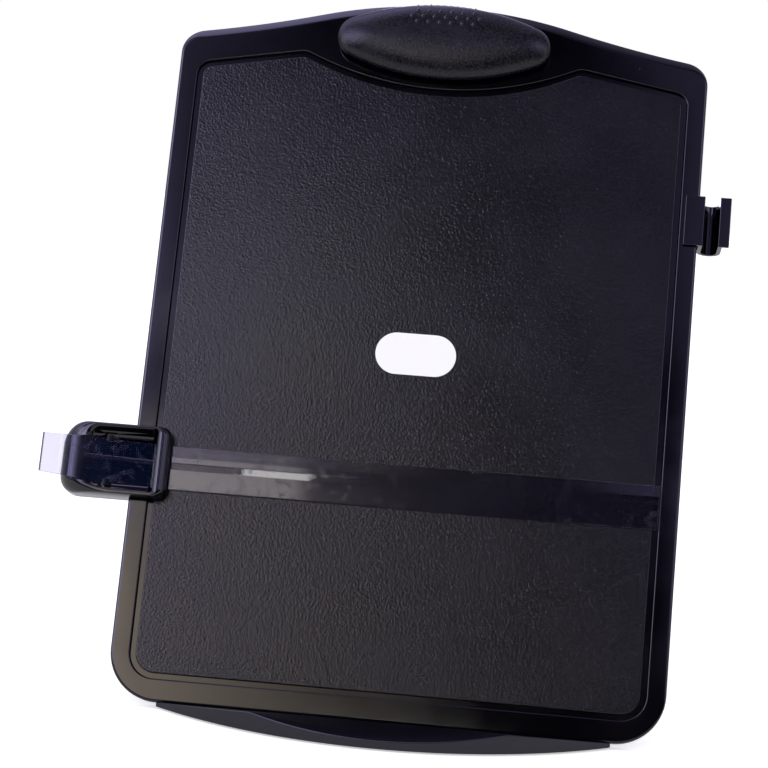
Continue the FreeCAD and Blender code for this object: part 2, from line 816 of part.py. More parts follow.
def build_clip_lever():
    """The oval lever: a shell with a rounded rim, two lugs on the pin and a jaw blade."""
    body = new_body("clip_lever")
    shell = pad(body, draw_outline(new_sketch(body, FRONT_PLANE, S.clip_base),
                                   oval_outline(number(0))), S.clip_top - S.clip_base)
    fillet(body, shell, S.clip_edge_fillet, lambda point: abs(point.y + S.clip_top.value) < CLOSE)
    pocket(body, draw_outline(new_sketch(body, FRONT_PLANE, S.clip_base),
                              oval_outline(S.clip_wall)),
           CLIP_CEILING - S.clip_base, backwards=True)
    middle = CLIP_PIN_HEIGHT
    radius = S.clip_lug_radius
    for start in (CLIP_LUG_INNER, -CLIP_LUG_OUTER):
        lug = [
            Corner(-CLIP_CEILING, middle - radius),
            Corner(-S.clip_pin_reach, middle - radius, radius),
            Corner(radius - S.clip_pin_reach, middle, radius),
            Corner(-S.clip_pin_reach, middle + radius),
            Corner(-CLIP_CEILING, middle + radius),
        ]
        pad(body, draw_outline(new_sketch(body, SIDE_PLANE, start), lug), S.clip_lug_thickness)
    bore = draw_circles(new_sketch(body, SIDE_PLANE), [(-S.clip_pin_reach, middle)],
                        S.clip_pin_radius + S.pin_fit)
    pocket(body, bore, (CLIP_LUG_OUTER + S.moving_gap) * 2.0, both_ways=True)
    blade = rectangle(-CLIP_CEILING - S.moving_gap, JAW_HEIGHT - S.jaw_blade_thickness / 2.0,
                      -S.moving_gap - S.jaw_pad_thickness,
                      JAW_HEIGHT + S.jaw_blade_thickness / 2.0)
    pad(body, draw_outline(new_sketch(body, SIDE_PLANE), blade), S.jaw_half_length * 2.0,
        both_ways=True)
    dots = []
    for row in (-1, 0, 1):
        count = 7 if row == 0 else 6
        height = CLIP_CENTRE + S.grip_row_rise + S.grip_row_pitch * row
        dots += [(S.grip_dot_pitch * (step - (count - 1) / 2.0), height) for step in range(count)]
    pad(body, draw_circles(new_sketch(body, FRONT_PLANE, CLIP_CEILING), dots, S.grip_dot_radius),
        S.clip_wall + S.grip_dot_height)
    return body


def build_clip_jaw_pad():
    """A soft strip on the jaw blade's tip."""
    body = new_body("clip_jaw_pad")
    strip = rectangle(-S.jaw_half_length, JAW_HEIGHT - S.jaw_pad_width / 2.0,
                      S.jaw_half_length, JAW_HEIGHT + S.jaw_pad_width / 2.0)
    pad(body, draw_outline(new_sketch(body, FRONT_PLANE, S.moving_gap), strip),
        S.jaw_pad_thickness)
    return body


def build_clip_spring():
    """A torsion spring round the pin: a coil of whole turns and a half, and two arms up."""
    coil_body = new_body("clip_spring_coil", leaning=False)
    half = S.spring_pitch * S.spring_turns / 2.0
    wire = S.spring_wire / 2.0
    coil_sketch = new_sketch(coil_body, LEVEL_PLANE, CLIP_PIN_HEIGHT)
    draw_circles(coil_sketch, [(-half, -S.clip_pin_reach - S.spring_coil_radius)], wire)
    axis_start = FreeCAD.Vector(-half.value, -S.clip_pin_reach.value, 0)
    axis_end = FreeCAD.Vector(half.value, -S.clip_pin_reach.value, 0)
    axis = coil_sketch.addGeometry(Part.LineSegment(axis_start, axis_end), True)
    pin_point(coil_sketch, axis, 1, Corner(-half, -S.clip_pin_reach))
    pin_point(coil_sketch, axis, 2, Corner(half, -S.clip_pin_reach))
    coil = coil_body.newObject("PartDesign::AdditiveHelix", "clip_spring_helix")
    coil.Profile = coil_sketch
    coil.ReferenceAxis = (coil_sketch, ["Axis0"])
    coil.Mode = "pitch-turns-angle"
    coil.Pitch = S.spring_pitch.value
    bind(coil, "Pitch", S.spring_pitch)
    coil.Turns = S.spring_turns.value
    bind(coil, "Turns", S.spring_turns)
    coil.LeftHanded = True
    coil_sketch.Visibility = False
    solids = [coil_body]
    for x, side in ((-half, 1.0), (half, -1.0)):
        y = -S.clip_pin_reach - S.spring_coil_radius * side
        solids.append(upright_cylinder("clip_spring_arm", x, y, CLIP_PIN_HEIGHT, wire,
                                       S.spring_arm))
    return gather("clip_spring", solids)


# The carriage and its line guide

def build_carriage_front():
    """The glossy housing: rolled left side, sunk window, slot for the board and guide lugs."""
    body = new_body("carriage_front")
    top = CARRIAGE_TOP
    shape = rounded_rectangle(-S.carriage_left, S.carriage_bottom, -S.carriage_right, top,
                              (S.carriage_right_radius, S.carriage_right_radius,
                               S.carriage_left_top_radius, S.carriage_left_bottom_radius))
    block = pad(body, draw_outline(new_sketch(body, FRONT_PLANE, -REAR_GAP), shape),
                REAR_GAP + S.carriage_rise)
    fillet(body, block, S.carriage_edge_fillet,
           lambda point: abs(point.y + S.carriage_rise.value) < CLOSE)
    roll = S.carriage_roll_radius
    corner = [
        Corner(-S.carriage_left - BEYOND, -S.carriage_rise - BEYOND),
        Corner(roll - S.carriage_left, -S.carriage_rise - BEYOND),
        Corner(roll - S.carriage_left, -S.carriage_rise, roll),
        Corner(-S.carriage_left, roll - S.carriage_rise),
        Corner(-S.carriage_left - BEYOND, roll - S.carriage_rise),
    ]
    pocket(body, draw_outline(new_sketch(body, LEVEL_PLANE, top + BEYOND), corner),
           S.carriage_height + BEYOND * 2.0)
    slot = rectangle(-HALF_BOARD - S.pen_side_gap, -S.moving_gap, BEYOND - S.carriage_right,
                     REAR_GAP + BEYOND)
    pocket(body, draw_outline(new_sketch(body, LEVEL_PLANE, top + BEYOND), slot),
           S.carriage_height + BEYOND * 2.0)
    hollow_right = -HALF_BOARD - S.pen_side_gap - S.carriage_hollow_wall
    hollow = rectangle(-S.carriage_hollow_side, S.carriage_bottom + S.carriage_hollow_margin,
                       hollow_right, top - S.carriage_hollow_margin)
    hollow_depth = REAR_GAP + S.carriage_hollow_top
    pocket(body, draw_outline(new_sketch(body, FRONT_PLANE, -REAR_GAP), hollow), hollow_depth,
           backwards=True)
    window_top = S.window_bottom + S.window_height
    window = rounded_rectangle(-S.window_left, S.window_bottom, -S.window_right, window_top,
                               (S.window_sharp_corner, S.window_sharp_corner, S.window_corner,
                                S.window_sweep_corner))
    pocket(body, draw_outline(new_sketch(body, FRONT_PLANE, S.carriage_rise), window),
           S.window_depth)
    for place in CARRIAGE_SCREWS:
        boss = draw_circles(new_sketch(body, FRONT_PLANE, -REAR_GAP), [place],
                            S.carriage_boss_radius)
        pad(body, boss, hollow_depth)
    pocket(body, draw_circles(new_sketch(body, FRONT_PLANE, -REAR_GAP), CARRIAGE_SCREWS,
                              SCREW_HOLE), S.screw_bite, backwards=True)
    middle = S.carriage_bottom + S.carriage_height / 2.0
    pad_gap = S.glide_pad_gap
    pad_middle = S.frame_depth / 2.0
    glide_window = rectangle(hollow_right - BEYOND, pad_middle - S.glide_pad_width / 2.0 - pad_gap,
                             BEYOND - HALF_BOARD, pad_middle + S.glide_pad_width / 2.0 + pad_gap)
    glide_sketch = new_sketch(body, LEVEL_PLANE, middle)
    pocket(body, draw_outline(glide_sketch, glide_window), S.glide_pad_length + pad_gap * 2.0,
           both_ways=True)
    guide_top = S.guide_bottom + S.guide_width
    rise = S.carriage_rise
    descent = tangent(S.guide_slope_angle)
    across = S.guide_thickness / cosine(S.guide_slope_angle)
    sill = rise - (S.guide_bend_start - S.guide_sill_end) * descent
    lintel = rise - (S.guide_bend_start - S.window_right) * descent + across + S.guide_lintel_gap
    channel = [
        Corner(-S.guide_bend_start, -rise - BEYOND),
        Corner(-S.guide_bend_start, -rise),
        Corner(-S.guide_sill_end, -sill),
        Corner(-S.guide_sill_end, BEYOND),
        Corner(BEYOND - S.carriage_right, BEYOND),
        Corner(BEYOND - S.carriage_right, -lintel),
        Corner(-S.window_right, -lintel),
        Corner(-S.window_right, -rise - BEYOND),
    ]
    pocket(body, draw_outline(new_sketch(body, LEVEL_PLANE, guide_top + S.lug_gap), channel),
           S.guide_width + S.lug_gap * 2.0)
    floor = rise - S.window_depth
    head_base = rise - (S.guide_bend_start - S.lug_left) * descent + across + S.lug_gap
    for edge, side in ((guide_top, 1.0), (S.guide_bottom, -1.0)):
        near = edge + S.lug_gap * side
        far = near + S.lug_wall * side
        hook = edge - S.lug_hook * side
        outline = [
            Corner(-floor, near),
            Corner(-head_base, near),
            Corner(-head_base, hook),
            Corner(-head_base - S.lug_head, hook),
            Corner(-head_base - S.lug_head, far),
            Corner(-floor, far),
        ]
        pad(body, draw_outline(new_sketch(body, SIDE_PLANE, -S.lug_left), outline), S.lug_width)
    return body


def build_carriage_back():
    """The plate behind the board that closes the carriage's slot."""
    body = new_body("carriage_back")
    radius = S.carriage_plate_radius
    shape = rounded_rectangle(
        -S.carriage_left + S.carriage_plate_inset, S.carriage_bottom + S.carriage_plate_inset,
        -S.carriage_plate_right, CARRIAGE_TOP - S.carriage_plate_inset,
        (S.carriage_right_radius, S.carriage_right_radius, radius, radius))
    pad(body, draw_outline(new_sketch(body, FRONT_PLANE, -REAR_GAP), shape),
        S.carriage_plate_thickness, backwards=True)
    pocket(body, draw_circles(new_sketch(body, FRONT_PLANE, -REAR_GAP), CARRIAGE_SCREWS,
                              SCREW_HOLE), S.carriage_plate_thickness)
    return body


def build_carriage_glide_pad():
    """A felt block in the slot's wall that drags lightly on the board's edge."""
    body = new_body("carriage_glide_pad")
    middle = S.carriage_bottom + S.carriage_height / 2.0
    left = -HALF_BOARD - S.pen_side_gap - S.carriage_hollow_wall
    block = rectangle(left, S.frame_depth / 2.0 - S.glide_pad_width / 2.0,
                      -HALF_BOARD - S.pin_fit, S.frame_depth / 2.0 + S.glide_pad_width / 2.0)
    pad(body, draw_outline(new_sketch(body, LEVEL_PLANE, middle), block), S.glide_pad_length,
        both_ways=True)
    return body


def build_line_guide():
    """A clear strip: flat at its tip, sloping down through the carriage, flat over the page."""
    body = new_body("line_guide")
    slope = S.guide_slope_angle
    half_slope = tangent(slope / 2.0)
    tight = S.guide_bend_radius
    wide = tight + S.guide_thickness
    near, far = tight * half_slope, wide * half_slope
    upper, lower = S.carriage_rise, S.guide_lift
    over, under = upper + S.guide_thickness, lower + S.guide_thickness
    high = -S.guide_bend_start
    low = high + (upper - lower) / tangent(slope)
    high_x, high_y = high + near * cosine(slope), near * sine(slope) - upper
    low_x, low_y = low - far * cosine(slope), -lower - far * sine(slope)
    skin_x, skin_y = S.guide_thickness * sine(slope), S.guide_thickness * cosine(slope)
    outline = [
        Corner(-S.guide_left, -upper),
        Corner(-S.guide_left, -over),
        Corner(high - near, -over, wide),
        Corner(high_x + skin_x, high_y - skin_y),
        Corner(low_x + skin_x, low_y - skin_y, tight, turn=-1),
        Corner(low + far, -under),
        Corner(S.guide_right, -under),
        Corner(S.guide_right, -lower),
        Corner(low + far, -lower, wide),
        Corner(low_x, low_y),
        Corner(high_x, high_y, tight, turn=-1),
        Corner(high - near, -upper),
    ]
    pad(body, draw_outline(new_sketch(body, LEVEL_PLANE, S.guide_bottom), outline),
        S.guide_width)
    tail = [
        Corner(-S.guide_tail_start, S.guide_bottom),
        Corner(-S.guide_left, S.guide_bottom + S.guide_tail_taper),
        Corner(-S.guide_left - BEYOND, S.guide_bottom + S.guide_tail_taper),
        Corner(-S.guide_left - BEYOND, S.guide_bottom - BEYOND),
        Corner(-S.guide_tail_start, S.guide_bottom - BEYOND),
    ]
    pocket(body, draw_outline(new_sketch(body, FRONT_PLANE, over), tail),
           S.guide_thickness + BEYOND)
    return body


# The pen clip

def build_pen_clip():
    """A C-shaped channel for a pen that hooks over the board's right edge, front and back."""
    body = new_body("pen_clip")
    wall = CHANNEL_WALL
    inner = wall + S.pen_wall
    bore = S.pen_radius
    outer_radius = bore + S.pen_wall
    centre = inner + bore
    far_inner = centre + bore
    far = centre + outer_radius
    front = -S.moving_gap - S.pen_flange_thickness
    lip_back = front + S.pen_lip_thickness
    depth = S.pen_channel_depth
    outline = [
        Corner(S.pen_flange_edge, front),
        Corner(S.pen_flange_edge, -S.moving_gap),
        Corner(wall, -S.moving_gap),
        Corner(wall, REAR_GAP),
        Corner(S.pen_flange_edge, REAR_GAP),
        Corner(S.pen_flange_edge, REAR_GAP + S.pen_flange_thickness),
        Corner(wall, REAR_GAP + S.pen_flange_thickness),
        Corner(wall, depth, outer_radius, turn=-1),
        Corner(centre, depth + outer_radius, outer_radius, turn=-1),
        Corner(far, depth),
        Corner(far, lip_back),
        Corner(far + S.pen_lip, lip_back),
        Corner(far + S.pen_lip, front),
        Corner(far_inner, front),
        Corner(far_inner, depth, bore),
        Corner(centre, depth + bore, bore),
        Corner(inner, depth),
        Corner(inner, front),
    ]
    pad(body, draw_outline(new_sketch(body, LEVEL_PLANE, S.pen_clip_bottom), outline),
        S.pen_clip_height)
    return body


# The easel leg

def build_leg_bracket():
    """A plate on the board's back with two ears and the web that stops the open leg."""
    body = new_body("leg_bracket")
    pin = S.leg_pin_height
    plate = rectangle(-S.bracket_half_width, pin - S.bracket_below, S.bracket_half_width,
                      pin + S.bracket_above)
    pad(body, draw_outline(new_sketch(body, FRONT_PLANE, -S.frame_depth), plate),
        S.bracket_thickness, backwards=True)
    web_base = pin + HALF_LEG + S.pin_fit * 2.0 + S.stop_gap
    web_top = web_base + S.bracket_web
    web_back = S.leg_pin_depth + S.bracket_web_reach
    web = rectangle(S.frame_depth, web_base, web_back, web_top)
    pad(body, draw_outline(new_sketch(body, SIDE_PLANE), web), EAR_OUTER * 2.0, both_ways=True)
    for start in (EAR_INNER, -EAR_OUTER):
        ear = [
            Corner(S.frame_depth, pin - S.bracket_ear_below),
            Corner(S.leg_pin_depth + HALF_LEG, pin - S.bracket_ear_below),
            Corner(web_back, web_base),
            Corner(web_back, web_top),
            Corner(S.frame_depth, web_top),
        ]
        pad(body, draw_outline(new_sketch(body, SIDE_PLANE, start), ear), S.bracket_ear)
    bore = draw_circles(new_sketch(body, SIDE_PLANE), [(S.leg_pin_depth, pin)],
                        S.leg_pin_radius + S.pin_fit)
    pocket(body, bore, EAR_OUTER * 2.0 + BEYOND, both_ways=True)
    pocket(body, draw_circles(new_sketch(body, FRONT_PLANE, -S.frame_depth), BRACKET_SCREWS,
                              SCREW_HOLE), S.bracket_thickness)
    return body


def place_on_pin(body):
    """Hang a body, drawn straight down from the leg's pin, at the leg's open angle."""
    body.Placement = FreeCAD.Placement(
        FreeCAD.Vector(0, PIN_Y.value, PIN_Z.value),
        FreeCAD.Rotation(FreeCAD.Vector(1, 0, 0), S.leg_splay_angle.value))
    bind(body, "Placement.Rotation.Angle", S.leg_splay_angle)
    bind(body, "Placement.Base.y", PIN_Y)
    bind(body, "Placement.Base.z", PIN_Z)


def leg_end(back, height):
    """How far down the leg, at that depth behind its middle, lies that height over the desk."""
    return (height - PIN_Z - back * sine(S.leg_splay_angle)) / cosine(S.leg_splay_angle)


def build_leg():
    """A ribbed leg with a barrel on the pin and a heel that meets the bracket's web."""
    body = new_body("leg", leaning=False)
    place_on_pin(body)
    half = HALF_LEG
    pad_top = S.leg_foot_thickness
    profile = [
        Corner(-half, 0),
        Corner(-half, leg_end(-half, pad_top)),
        Corner(half, leg_end(half, pad_top)),
        Corner(half, 0, half),
        Corner(0, half, half),
    ]
    pad(body, draw_outline(new_sketch(body, SIDE_PLANE), profile), S.leg_width, both_ways=True)
    seat = half + S.pin_fit * 2.0
    slope = tangent(LEG_ANGLE)
    tip = seat / cosine(LEG_ANGLE) - S.heel_reach * slope
    heel = [
        Corner(0, 0),
        Corner(0, -S.heel_depth - S.heel_reach),
        Corner(half, -S.heel_depth - S.heel_reach),
        Corner(S.heel_reach, -S.heel_depth),
        Corner(S.heel_reach, tip),
        Corner(seat * sine(LEG_ANGLE), seat * cosine(LEG_ANGLE)),
    ]
    pad(body, draw_outline(new_sketch(body, SIDE_PLANE), heel), S.heel_width, both_ways=True)
    bore = draw_circles(new_sketch(body, SIDE_PLANE), [(0, 0)], S.leg_pin_radius + S.pin_fit)
    pocket(body, bore, S.leg_width + BEYOND, both_ways=True)
    cell_half = S.leg_width / 2.0 - S.leg_rim
    for step in range(int(S.leg_cell_count.value)):
        cell_top = -S.leg_cell_top - (S.leg_cell_length + S.leg_rim) * step
        cell = rectangle(-cell_half, cell_top - S.leg_cell_length, cell_half, cell_top)
        pocket(body, draw_outline(new_sketch(body, FRONT_PLANE, -half), cell),
               S.leg_thickness - S.leg_web, backwards=True)
    return body


def build_leg_foot():
    """A rubber sole on the leg's end, level with the desk when the leg is open."""
    body = new_body("leg_foot", leaning=False)
    place_on_pin(body)
    half = HALF_LEG
    sole = [
        Corner(-half, leg_end(-half, S.leg_foot_thickness)),
        Corner(-half, leg_end(-half, number(0))),
        Corner(half, leg_end(half, number(0))),
        Corner(half, leg_end(half, S.leg_foot_thickness)),
    ]
    pad(body, draw_outline(new_sketch(body, SIDE_PLANE), sole), S.leg_width, both_ways=True)
    return body


pieces = [
    build_frame(),
    build_panel(),
    build_label(),
    build_shelf(),
    screws("shelf_screws", SHELF_SCREWS, S.frame_depth, S.frame_depth - BORDER_BACK),
    build_shelf_feet(),
    build_clip_bracket(),
    screws("clip_screws", CLIP_SCREWS, BORDER_BACK, BORDER_BACK - S.moving_gap * 4.0),
    build_clip_lever(),
    turned_pin("clip_pin", -S.clip_pin_reach, CLIP_PIN_HEIGHT, S.clip_pin_radius,
               CLIP_LUG_OUTER * 2.0),
    build_clip_spring(),
    build_clip_jaw_pad(),
    build_carriage_front(),
    build_carriage_back(),
    screws("carriage_screws", CARRIAGE_SCREWS, REAR_GAP + S.carriage_plate_thickness,
           S.carriage_plate_thickness),
    build_carriage_glide_pad(),
    build_line_guide(),
    build_pen_clip(),
    build_leg_bracket(),
    screws("bracket_screws", BRACKET_SCREWS, BRACKET_BACK, S.bracket_thickness),
    turned_pin("leg_pin", S.leg_pin_depth, S.leg_pin_height, S.leg_pin_radius, EAR_OUTER * 2.0),
    build_leg(),
    build_leg_foot(),
]
doc.recompute()


# Checks, then one file for each piece

for item in doc.Objects:
    if "Invalid" in item.State or "Error" in item.State:
        raise RuntimeError("%s did not build: %s" % (item.Label, item.State))
    if item.TypeId == "PartDesign::Pocket":
        if item.Shape.Volume > item.BaseFeature.Shape.Volume - CLOSE:
            raise RuntimeError("%s cuts nothing" % item.Label)

os.makedirs("parts", exist_ok=True)
for piece in pieces:
    if piece.Shape.isNull() or not piece.Shape.isValid():
        raise RuntimeError("%s has no valid shape" % piece.Label)
    piece.Shape.exportStep(os.path.join("parts", piece.Label + ".step"))
    box = piece.Shape.BoundBox
    print("%-20s %d solid(s)  x %7.2f %7.2f  y %7.2f %7.2f  z %7.2f %7.2f  %9.1f mm3" % (
        piece.Label, len(piece.Shape.Solids), box.XMin, box.XMax, box.YMin, box.YMax,
        box.ZMin, box.ZMax, piece.Shape.Volume))
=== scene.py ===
"""Looks of an easel copy holder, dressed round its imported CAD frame.

Sizes are in millimetres in the board's own frame: across to the reader's right, up the board
from its bottom edge, and out of its front face. BoardSpace turns them to metres in the row's
frame, where every mesh is written in its final place.
"""

import logging
import math
from dataclasses import dataclass, field
from enum import Enum
from typing import Any, Iterable, Sequence

import bmesh
import bpy
from mathutils import Matrix, Vector


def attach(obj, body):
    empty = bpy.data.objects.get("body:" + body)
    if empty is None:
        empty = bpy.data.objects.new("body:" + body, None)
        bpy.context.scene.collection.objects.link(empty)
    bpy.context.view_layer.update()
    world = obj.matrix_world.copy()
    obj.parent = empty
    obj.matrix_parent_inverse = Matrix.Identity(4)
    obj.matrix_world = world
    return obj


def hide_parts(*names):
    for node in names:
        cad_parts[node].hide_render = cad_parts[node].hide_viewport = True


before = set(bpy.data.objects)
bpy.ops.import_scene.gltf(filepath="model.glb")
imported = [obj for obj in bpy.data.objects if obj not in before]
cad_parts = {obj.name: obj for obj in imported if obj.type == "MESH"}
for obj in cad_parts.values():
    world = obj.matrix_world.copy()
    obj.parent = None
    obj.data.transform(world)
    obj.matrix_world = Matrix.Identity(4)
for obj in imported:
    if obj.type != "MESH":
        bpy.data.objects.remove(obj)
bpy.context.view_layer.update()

log = logging.getLogger("copy_holder")

Flat = tuple[float, float]
Place = tuple[float, float, float]
Ring = list[Place]
Tree = bpy.types.NodeTree
Node = bpy.types.Node
Socket = bpy.types.NodeSocket
Piece = bpy.types.Object
Mesh = bpy.types.Mesh
Form = bmesh.types.BMesh

MM = 0.001
AXES = ((1.0, 0.0, 0.0), (0.0, 1.0, 0.0), (0.0, 0.0, 1.0))


class Body(Enum):
    """The rigid bodies of the holder, by the names in its record."""

    STAND = "stand"
    CLIP = "clip"
    CARRIAGE = "carriage"
    PEN_CLIP = "pen_clip"
    LEG = "leg"


# The board's space

@dataclass(frozen=True)
class BoardSpace:
    """The leaning board's frame: where its front bottom edge lies, and how far it leans."""

    lean: float = math.radians(20.0)
    setback: float = 22.0
    lift: float = 0.8 + 7.0 * math.sin(math.radians(20.0))

    def place(self, across: float, up: float, out: float) -> Vector:
        """Turn a place on the board into metres in the row's frame.

        Args:
            across: Millimetres to the reader's right of the board's middle.
            up: Millimetres up the board from its bottom edge.
            out: Millimetres out of its front face, towards the reader.

        Returns:
            The same place in metres, +Z up.
        """
        sine, cosine = math.sin(self.lean), math.cos(self.lean)
        return Vector((
            across * MM,
            (up * sine - out * cosine + self.setback) * MM,
            (up * cosine + out * sine + self.lift) * MM,
        ))

    def turn(self, *steps: Place) -> Matrix:
        """The matrix that turns X, Y and Z to three steps' directions on the board."""
        origin = self.place(0.0, 0.0, 0.0)
        ways = [(self.place(*step) - origin).normalized() for step in steps]
        return Matrix(ways).transposed().to_4x4()

    def matrix(self) -> Matrix:
        """The matrix from millimetres (across, up, out) to metres in the row's frame."""
        start = Matrix.Translation(self.place(0.0, 0.0, 0.0))
        return start @ self.turn(*AXES) @ Matrix.Scale(MM, 4)


BOARD = BoardSpace()


# Numbers

def progress(value: float, start: float, end: float) -> float:
    """How far a value is from start to end: 0 before the start and 1 after the end."""
    return min(1.0, max(0.0, (value - start) / (end - start)))


def eased(share: float) -> float:
    """Ease a share in and out between 0 and 1."""
    return share * share * (3.0 - 2.0 * share)


def quarter(steps: int) -> list[Flat]:
    """The cosine and sine of every step from 0 to 90 degrees."""
    angles = [math.radians(90.0 * step / steps) for step in range(steps + 1)]
    return [(math.cos(angle), math.sin(angle)) for angle in angles]


# Node helpers

def linear(code: str) -> tuple[float, float, float, float]:
    """Turn an sRGB hex colour into linear red, green, blue and alpha.

    Args:
        code: A colour such as "#24222f".

    Returns:
        Four linear numbers, with an alpha of 1.
    """
    parts = [int(code[start:start + 2], 16) / 255.0 for start in (1, 3, 5)]
    red, green, blue = (
        part / 12.92 if part <= 0.04045 else ((part + 0.055) / 1.055) ** 2.4 for part in parts)
    return red, green, blue, 1.0


def add_node(tree: Tree, kind: str, settings: dict[str | int, Any] | None = None,
             links: dict[str | int, Socket] | None = None) -> Node:
    """Add a node to a tree, with its settings and its incoming links.

    Args:
        tree: The material, world or geometry tree.
        kind: The node's type, such as "ShaderNodeBump".
        settings: Values by name. A name that is a field of the node sets that field, and any
            other is an input's name or number.
        links: Output sockets by the name or number of the input that each feeds.

    Returns:
        The new node.
    """
    node = tree.nodes.new(kind)
    for name, value in (settings or {}).items():
        if isinstance(name, str) and name in node.bl_rna.properties:
            setattr(node, name, value)
        else:
            node.inputs[name].default_value = value
    for name, socket in (links or {}).items():
        tree.links.new(socket, node.inputs[name])
    return node


def compute(tree: Tree, operation: str, first: Socket, second: Socket) -> Socket:
    """Join two values by an operation such as "MULTIPLY", and give back the result."""
    return add_node(tree, "ShaderNodeMath", {"operation": operation},
                    {0: first, 1: second}).outputs[0]


def fade(tree: Tree, value: Socket, start: float, end: float, most: float = 1.0) -> Socket:
    """Map a value smoothly from 0, at start, to most, at end."""
    return add_node(tree, "ShaderNodeMapRange", {
        "From Min": start, "From Max": end, "To Max": most, "interpolation_type": "SMOOTHSTEP"},
        {"Value": value}).outputs["Result"]


def mix_shaders(tree: Tree, share: Socket, low: Socket, high: Socket) -> Socket:
    """Go from one shader, where the share is 0, to another, where it is 1."""
    return add_node(tree, "ShaderNodeMixShader", links={0: share, 1: low, 2: high}).outputs[0]


def empty_tree(owner: bpy.types.Material | bpy.types.World) -> Tree:
    """Turn a material's or world's nodes on, and give back its tree with nothing in it."""
    owner.use_nodes = True
    owner.node_tree.nodes.clear()
    return owner.node_tree


def new_object(name: str, data: bpy.types.ID) -> Piece:
    """Make an object for a mesh, lamp or camera, and link it to the scene."""
    made = bpy.data.objects.new(name, data)
    bpy.context.scene.collection.objects.link(made)
    return made


# Finishes

@dataclass
class Surface:
    """A material in the making: its tree, shader and output, and the piece's coordinates."""

    tree: Tree
    shader: Node
    output: Node
    coordinates: Socket

    def add(self, kind: str, settings: dict[str | int, Any] | None = None,
            links: dict[str | int, Socket] | None = None) -> Node:
        """Add a node to the material's tree, as add_node does."""
        return add_node(self.tree, kind, settings, links)

    def feed(self, name: str, value: Socket) -> None:
        """Lead a value to the shader's input of that name."""
        self.tree.links.new(value, self.shader.inputs[name])

    def noise(self, grain_mm: float, detail: float = 2.0, vector: Socket | None = None) -> Socket:
        """Add soft noise whose blotches are about grain_mm wide.

        Args:
            grain_mm: The blotches' width in millimetres.
            detail: How many finer octaves the noise has.
            vector: Where it is read, if not at the piece's own coordinates.

        Returns:
            The noise's value, from 0 to 1.
        """
        return self.add("ShaderNodeTexNoise", {
            "Scale": 1000.0 / grain_mm, "Detail": detail, "Roughness": 0.5},
            {"Vector": self.coordinates if vector is None else vector}).outputs[0]

    def spread(self, value: Socket, low: float, high: float,
               start: float = 0.3, end: float = 0.7) -> Socket:
        """Map a value from start..end to low..high, and hold it there outside.

        Args:
            value: The value to map.
            low: The result at start.
            high: The result at end.
            start: Where the value begins to count.
            end: Where it stops counting.

        Returns:
            The mapped value.
        """
        return self.add("ShaderNodeMapRange", {
            "From Min": start, "From Max": end, "To Min": low, "To Max": high},
            {"Value": value}).outputs["Result"]

    def stain(self, amount: Socket, low: Sequence[float], high: Sequence[float]) -> None:
        """Let an amount take the base colour from low, at 0, to high, at 1."""
        self.feed("Base Color", self.add("ShaderNodeMix", {
            "data_type": "RGBA", 6: low, 7: high}, {"Factor": amount}).outputs[2])

    def relief(self, height: Socket, depth_mm: float, strength: float = 1.0) -> None:
        """Feed a height to the shader's normal as relief of depth_mm."""
        self.feed("Normal", self.add("ShaderNodeBump", {
            "Strength": strength, "Distance": depth_mm * MM}, {"Height": height}).outputs[0])


@dataclass(frozen=True)
class Finish:
    """A moulded or made surface: its record slot, colour and gloss, with a pattern of its own."""

    name: str
    slot: str
    colour: str
    roughness: float
    specular: float = 0.5
    metallic: float = 0.0

    def material(self) -> bpy.types.Material:
        """Build this finish's material once, and give it back after that."""
        known = bpy.data.materials.get(self.name)
        if known:
            return known
        material = bpy.data.materials.new(self.name)
        tree = empty_tree(material)
        shader = add_node(tree, "ShaderNodeBsdfPrincipled", {
            "Base Color": linear(self.colour), "Roughness": self.roughness,
            "Metallic": self.metallic})
        if self.metallic < 0.5:
            shader.inputs["Specular IOR Level"].default_value = self.specular
        output = add_node(tree, "ShaderNodeOutputMaterial", links={
            "Surface": shader.outputs["BSDF"]})
        coordinates = add_node(tree, "ShaderNodeTexCoord").outputs["Object"]
        self.dress(Surface(tree, shader, output, coordinates))
        return material

    def times(self, share: float) -> tuple[float, ...]:
        """The finish's linear colour at that share of its brightness."""
        return tuple(part * share for part in linear(self.colour)[:3]) + (1.0,)

    def dress(self, surface: Surface) -> None:
        """Add the finish's own pattern to its surface. A plain finish adds none."""


@dataclass(frozen=True)
class GlossAbs(Finish):
    """High-gloss ABS from a polished mould: faint flow waves, handling smudges and fine dust."""

    wave_mm: float = 9.0
    wave_depth_mm: float = 0.02
    smudge_mm: float = 34.0
    smudge: Flat = (0.75, 1.5)
    dust_mm: float = 7.0
    dust: str = "#9b98a8"
    dust_cover: float = 0.55

    def dress(self, surface: Surface) -> None:
        """Add smudges to the gloss, waves to the normal and sparse pale dust to the colour."""
        surface.feed("Roughness", surface.spread(
            surface.noise(self.smudge_mm, 4.0), *(self.roughness * part for part in self.smudge)))
        surface.relief(surface.noise(self.wave_mm, 1.0), self.wave_depth_mm, 0.35)
        # Real dust is under 0.1 mm; it is drawn 0.25 mm wide so that it shows at all.
        cells = surface.add("ShaderNodeTexVoronoi", {
            "Scale": 1000.0 / self.dust_mm, "Randomness": 1.0},
            {"Vector": surface.coordinates})
        speck = surface.spread(cells.outputs["Distance"], self.dust_cover, 0.0, 0.012, 0.03)
        chosen = surface.spread(cells.outputs["Color"], 0.0, 1.0, 0.62, 0.66)
        surface.stain(compute(surface.tree, "MULTIPLY", speck, chosen), linear(self.colour),
                      linear(self.dust))


